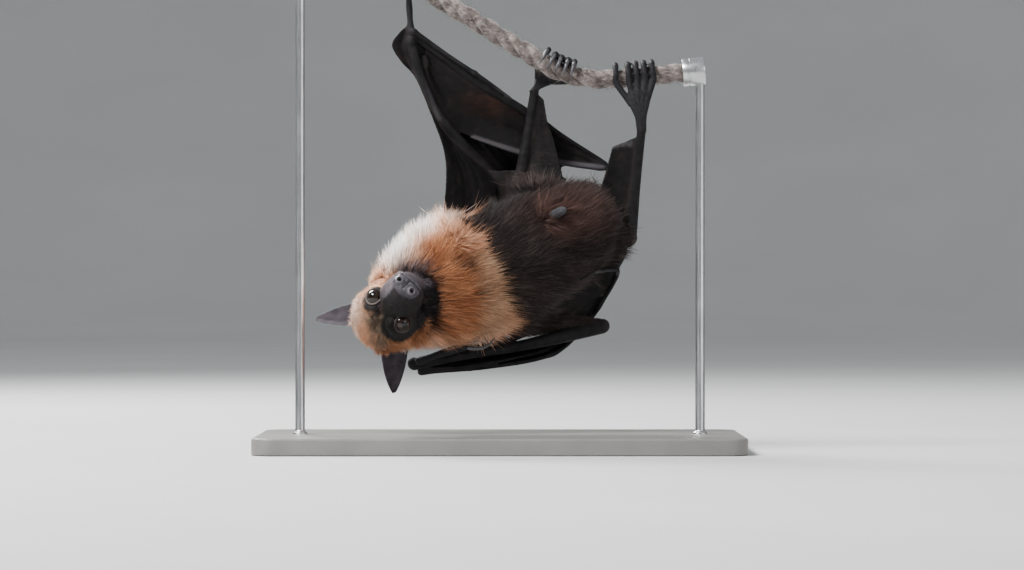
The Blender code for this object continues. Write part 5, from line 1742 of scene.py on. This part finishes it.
def grown_tufts():
    """Every tuft of the coat: its root, two bent halves, length, width, marks, lock and region."""
    rng = np.random.default_rng(5)
    roots, ways, reach, owner, zone = scattered_roots(skin_mesh, rng)
    count = len(roots)
    marks = fur_marks(roots, np.eye(len(ZONES))[zone])
    gold, mask_and_shade = marks[:, FUR_MARKS.index("gold")], marks[:, FUR_MARKS.index("mask_and_shade")]
    lie = lie_of_coat(roots, ways, owner, rng)
    on_head = (zone == HEAD_ZONE) | (zone == EAR_ZONE)
    mantle = (gold > 0.5) & ~on_head
    face = rise(head_coordinates(roots)[:, 0], -14, 3) * on_head
    lift = np.where(mantle, LIFT["mantle"], np.where(on_head, LIFT["head"], LIFT["body"]))
    lift = lift * (1 - face) + LIFT["face"] * face
    lift = lift * rng.normal(1, LIFT_SPREAD, count)
    reach = np.minimum(reach, LONGEST_REACH)
    length = reach / np.sin(np.clip(lift, 0.2, 1.3)) * rng.normal(0.96, LENGTH_SPREAD, count)
    stray = (rng.random(count) < STRAY_SHARE) & ~(face > 0.5)
    lift = np.where(stray, lift * STRAY_LIFT, lift)
    length = np.clip(np.where(stray, length * STRAY_LENGTH, length), SHORTEST, LONGEST)
    length = np.minimum(length, longest_at(roots, on_head, mask_and_shade) * rng.uniform(0.8, 1.15, count))
    first = unit(leaning(lie, ways, np.clip(lift * 1.25, 0.25, 1.35)))
    second = leaning(lie, ways, np.clip(lift * 0.7, 0.08, 1.15))
    tips = roots + (first + second) * (0.5 * length)[:, None]
    lock, members, centre = locks(roots, tips, LOCK_SIZE * np.where(face > 0.5, 0.5, 1.0))
    pull = np.where(stray, 0.0, LOCK_PULL * rng.random(count))[:, None]
    second = unit(second + (centre - tips) * pull / (0.5 * length)[:, None])
    width = (ROOT_WIDTH + WIDTH_BY_LENGTH * length) * rng.uniform(0.75, 1.25, count)
    width = width * np.where(stray, STRAY_WIDTH, 1.0)
    region = np.where(zone == LIMB_ZONE, "limbs", "trunk")
    return {
        "roots": roots - ways * ROOT_DEPTH,
        "first": first,
        "second": second,
        "length": length,
        "width": width,
        "marks": marks,
        "strand": rng.random(count),
        "lock": rng.random(len(members))[lock],
        "region": np.where(on_head, "head", np.where(mantle, "mantle", region)),
    }


def unwrapped(roots, on_head):
    """Where each root lies on a flat unwrap of the skin: round the body, and along it."""
    if on_head:
        axis, across, deep, middle = -NOSE_WAY, LEFT_WAY, CROWN_WAY, head_place(0, -4, 0)
    else:
        axis, across, deep, middle = BODY_AXIS, TRUNK_LEFT, BELLY_WAY, BODY_MIDDLE
    out = roots - middle
    return np.stack([np.arctan2(out @ deep, out @ across), out @ axis], 1)


def short_spikes(own):
    """Hairs too short to bend: four places and four triangles each."""
    count = len(own["roots"])
    places = np.empty((count, 4, 3))
    for k, out in enumerate(spike_ring(own["first"], own["width"])):
        places[:, k] = own["roots"] + out
    places[:, 3] = own["roots"] + (own["first"] + own["second"]) * (own["length"] * 0.5)[:, None]
    faces = (np.arange(count) * 4)[:, None, None] + np.array([(0, 2, 1), (0, 1, 3), (1, 2, 3), (2, 0, 3)])
    return places.reshape(-1, 3), faces.reshape(-1, 3)


def coat_piece(name, chosen, short):
    """One piece of the coat, with its marks and its flat unwrap."""
    own = {key: value[chosen] for key, value in tufts.items()}
    count = len(own["roots"])
    if short:
        places, faces = short_spikes(own)
        along, corner = SHORT_ALONG, SHORT_PATCH
    else:
        places, faces = spikes(own["roots"], own["first"], own["second"], own["length"], own["width"])
        along, corner = LONG_ALONG, LONG_PATCH
    each = len(along)
    mesh = mesh_of(name, places * MM, faces)
    write_marks(mesh, np.repeat(own["marks"], each, axis=0), FUR_MARKS)
    write_vector(mesh, "root", np.repeat(own["roots"] * MM, each, axis=0))
    strand, lock = np.repeat(own["strand"], each), np.repeat(own["lock"], each)
    write_vector(mesh, "tuft", np.stack([np.tile(along, count), strand, lock], 1))
    flat = unwrapped(own["roots"], own["region"][0] == "head")
    low, high = flat.min(0), flat.max(0)
    flat = PATCH + (flat - low) / (high - low) * (1 - 2 * PATCH)
    spread = (flat[:, None] + np.array(corner)[None] * PATCH).reshape(-1, 2)
    corners = spread[faces.ravel()].astype(np.float32)
    mesh.uv_layers.new(name="OFBake").data.foreach_set("uv", corners.ravel())
    return mesh


coat_finish = Finish("coat", Roughness=0.72, Specular_IOR_Level=0.12, Sheen_Weight=0.04)
tuft = coat_finish.node("SeparateXYZ", {0: coat_finish.read("tuft")})
colour = coat_colour(coat_finish)
# Painted shade: each hair darker towards its root, where the coat shades it, and a little lighter at its
# tip.
painted_root_shade = coat_finish.fit(tuft.outputs[0], 0.0, 0.9, 0.40, 1.15)
by_strand = coat_finish.fit(tuft.outputs[1], 0.0, 1.0, 0.74, 1.26)
by_lock = coat_finish.fit(tuft.outputs[2], 0.0, 1.0, 0.76, 1.24)
level = coat_finish.times(painted_root_shade, coat_finish.times(by_strand, by_lock))
grey = coat_finish.node("CombineColor", {0: level, 1: level, 2: level}).outputs[0]
tinted = coat_finish.mix(1.0, colour, grey, "MULTIPLY")
pale_hair = coat_finish.fit(tuft.outputs[1], 0.91, 0.92, 0.0, 0.2)
pale_tip = coat_finish.times(pale_hair, tuft.outputs[0])
coat_finish.link("Base Color", coat_finish.mix(pale_tip, tinted, (0.52, 0.42, 0.36)))

tufts = grown_tufts()
region = tufts["region"]
left_half = head_coordinates(tufts["roots"])[:, 2] > 0
short_hair = tufts["length"] < LONG_ENOUGH
round_body = unwrapped(tufts["roots"], False)[:, 0]
quarter = np.floor((round_body + math.pi) / (math.pi / 2)).astype(int) % 4
coats = []
for part, short in (("face", True), ("head", False)):
    of_part = (region == "head") & (short_hair == short)
    coats.append((f"coat_{part}_left", of_part & left_half, short))
    coats.append((f"coat_{part}_right", of_part & ~left_half, short))
for part in ("mantle", "trunk"):
    for k, name in enumerate(QUARTERS):
        coats.append((f"coat_{part}_{name}", (region == part) & (quarter == k), False))
coats.append(("coat_limbs", region == "limbs", False))
for name, chosen, short in coats:
    piece = added(name, coat_piece(name, chosen, short), coat_finish.material)
    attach(piece, "root")
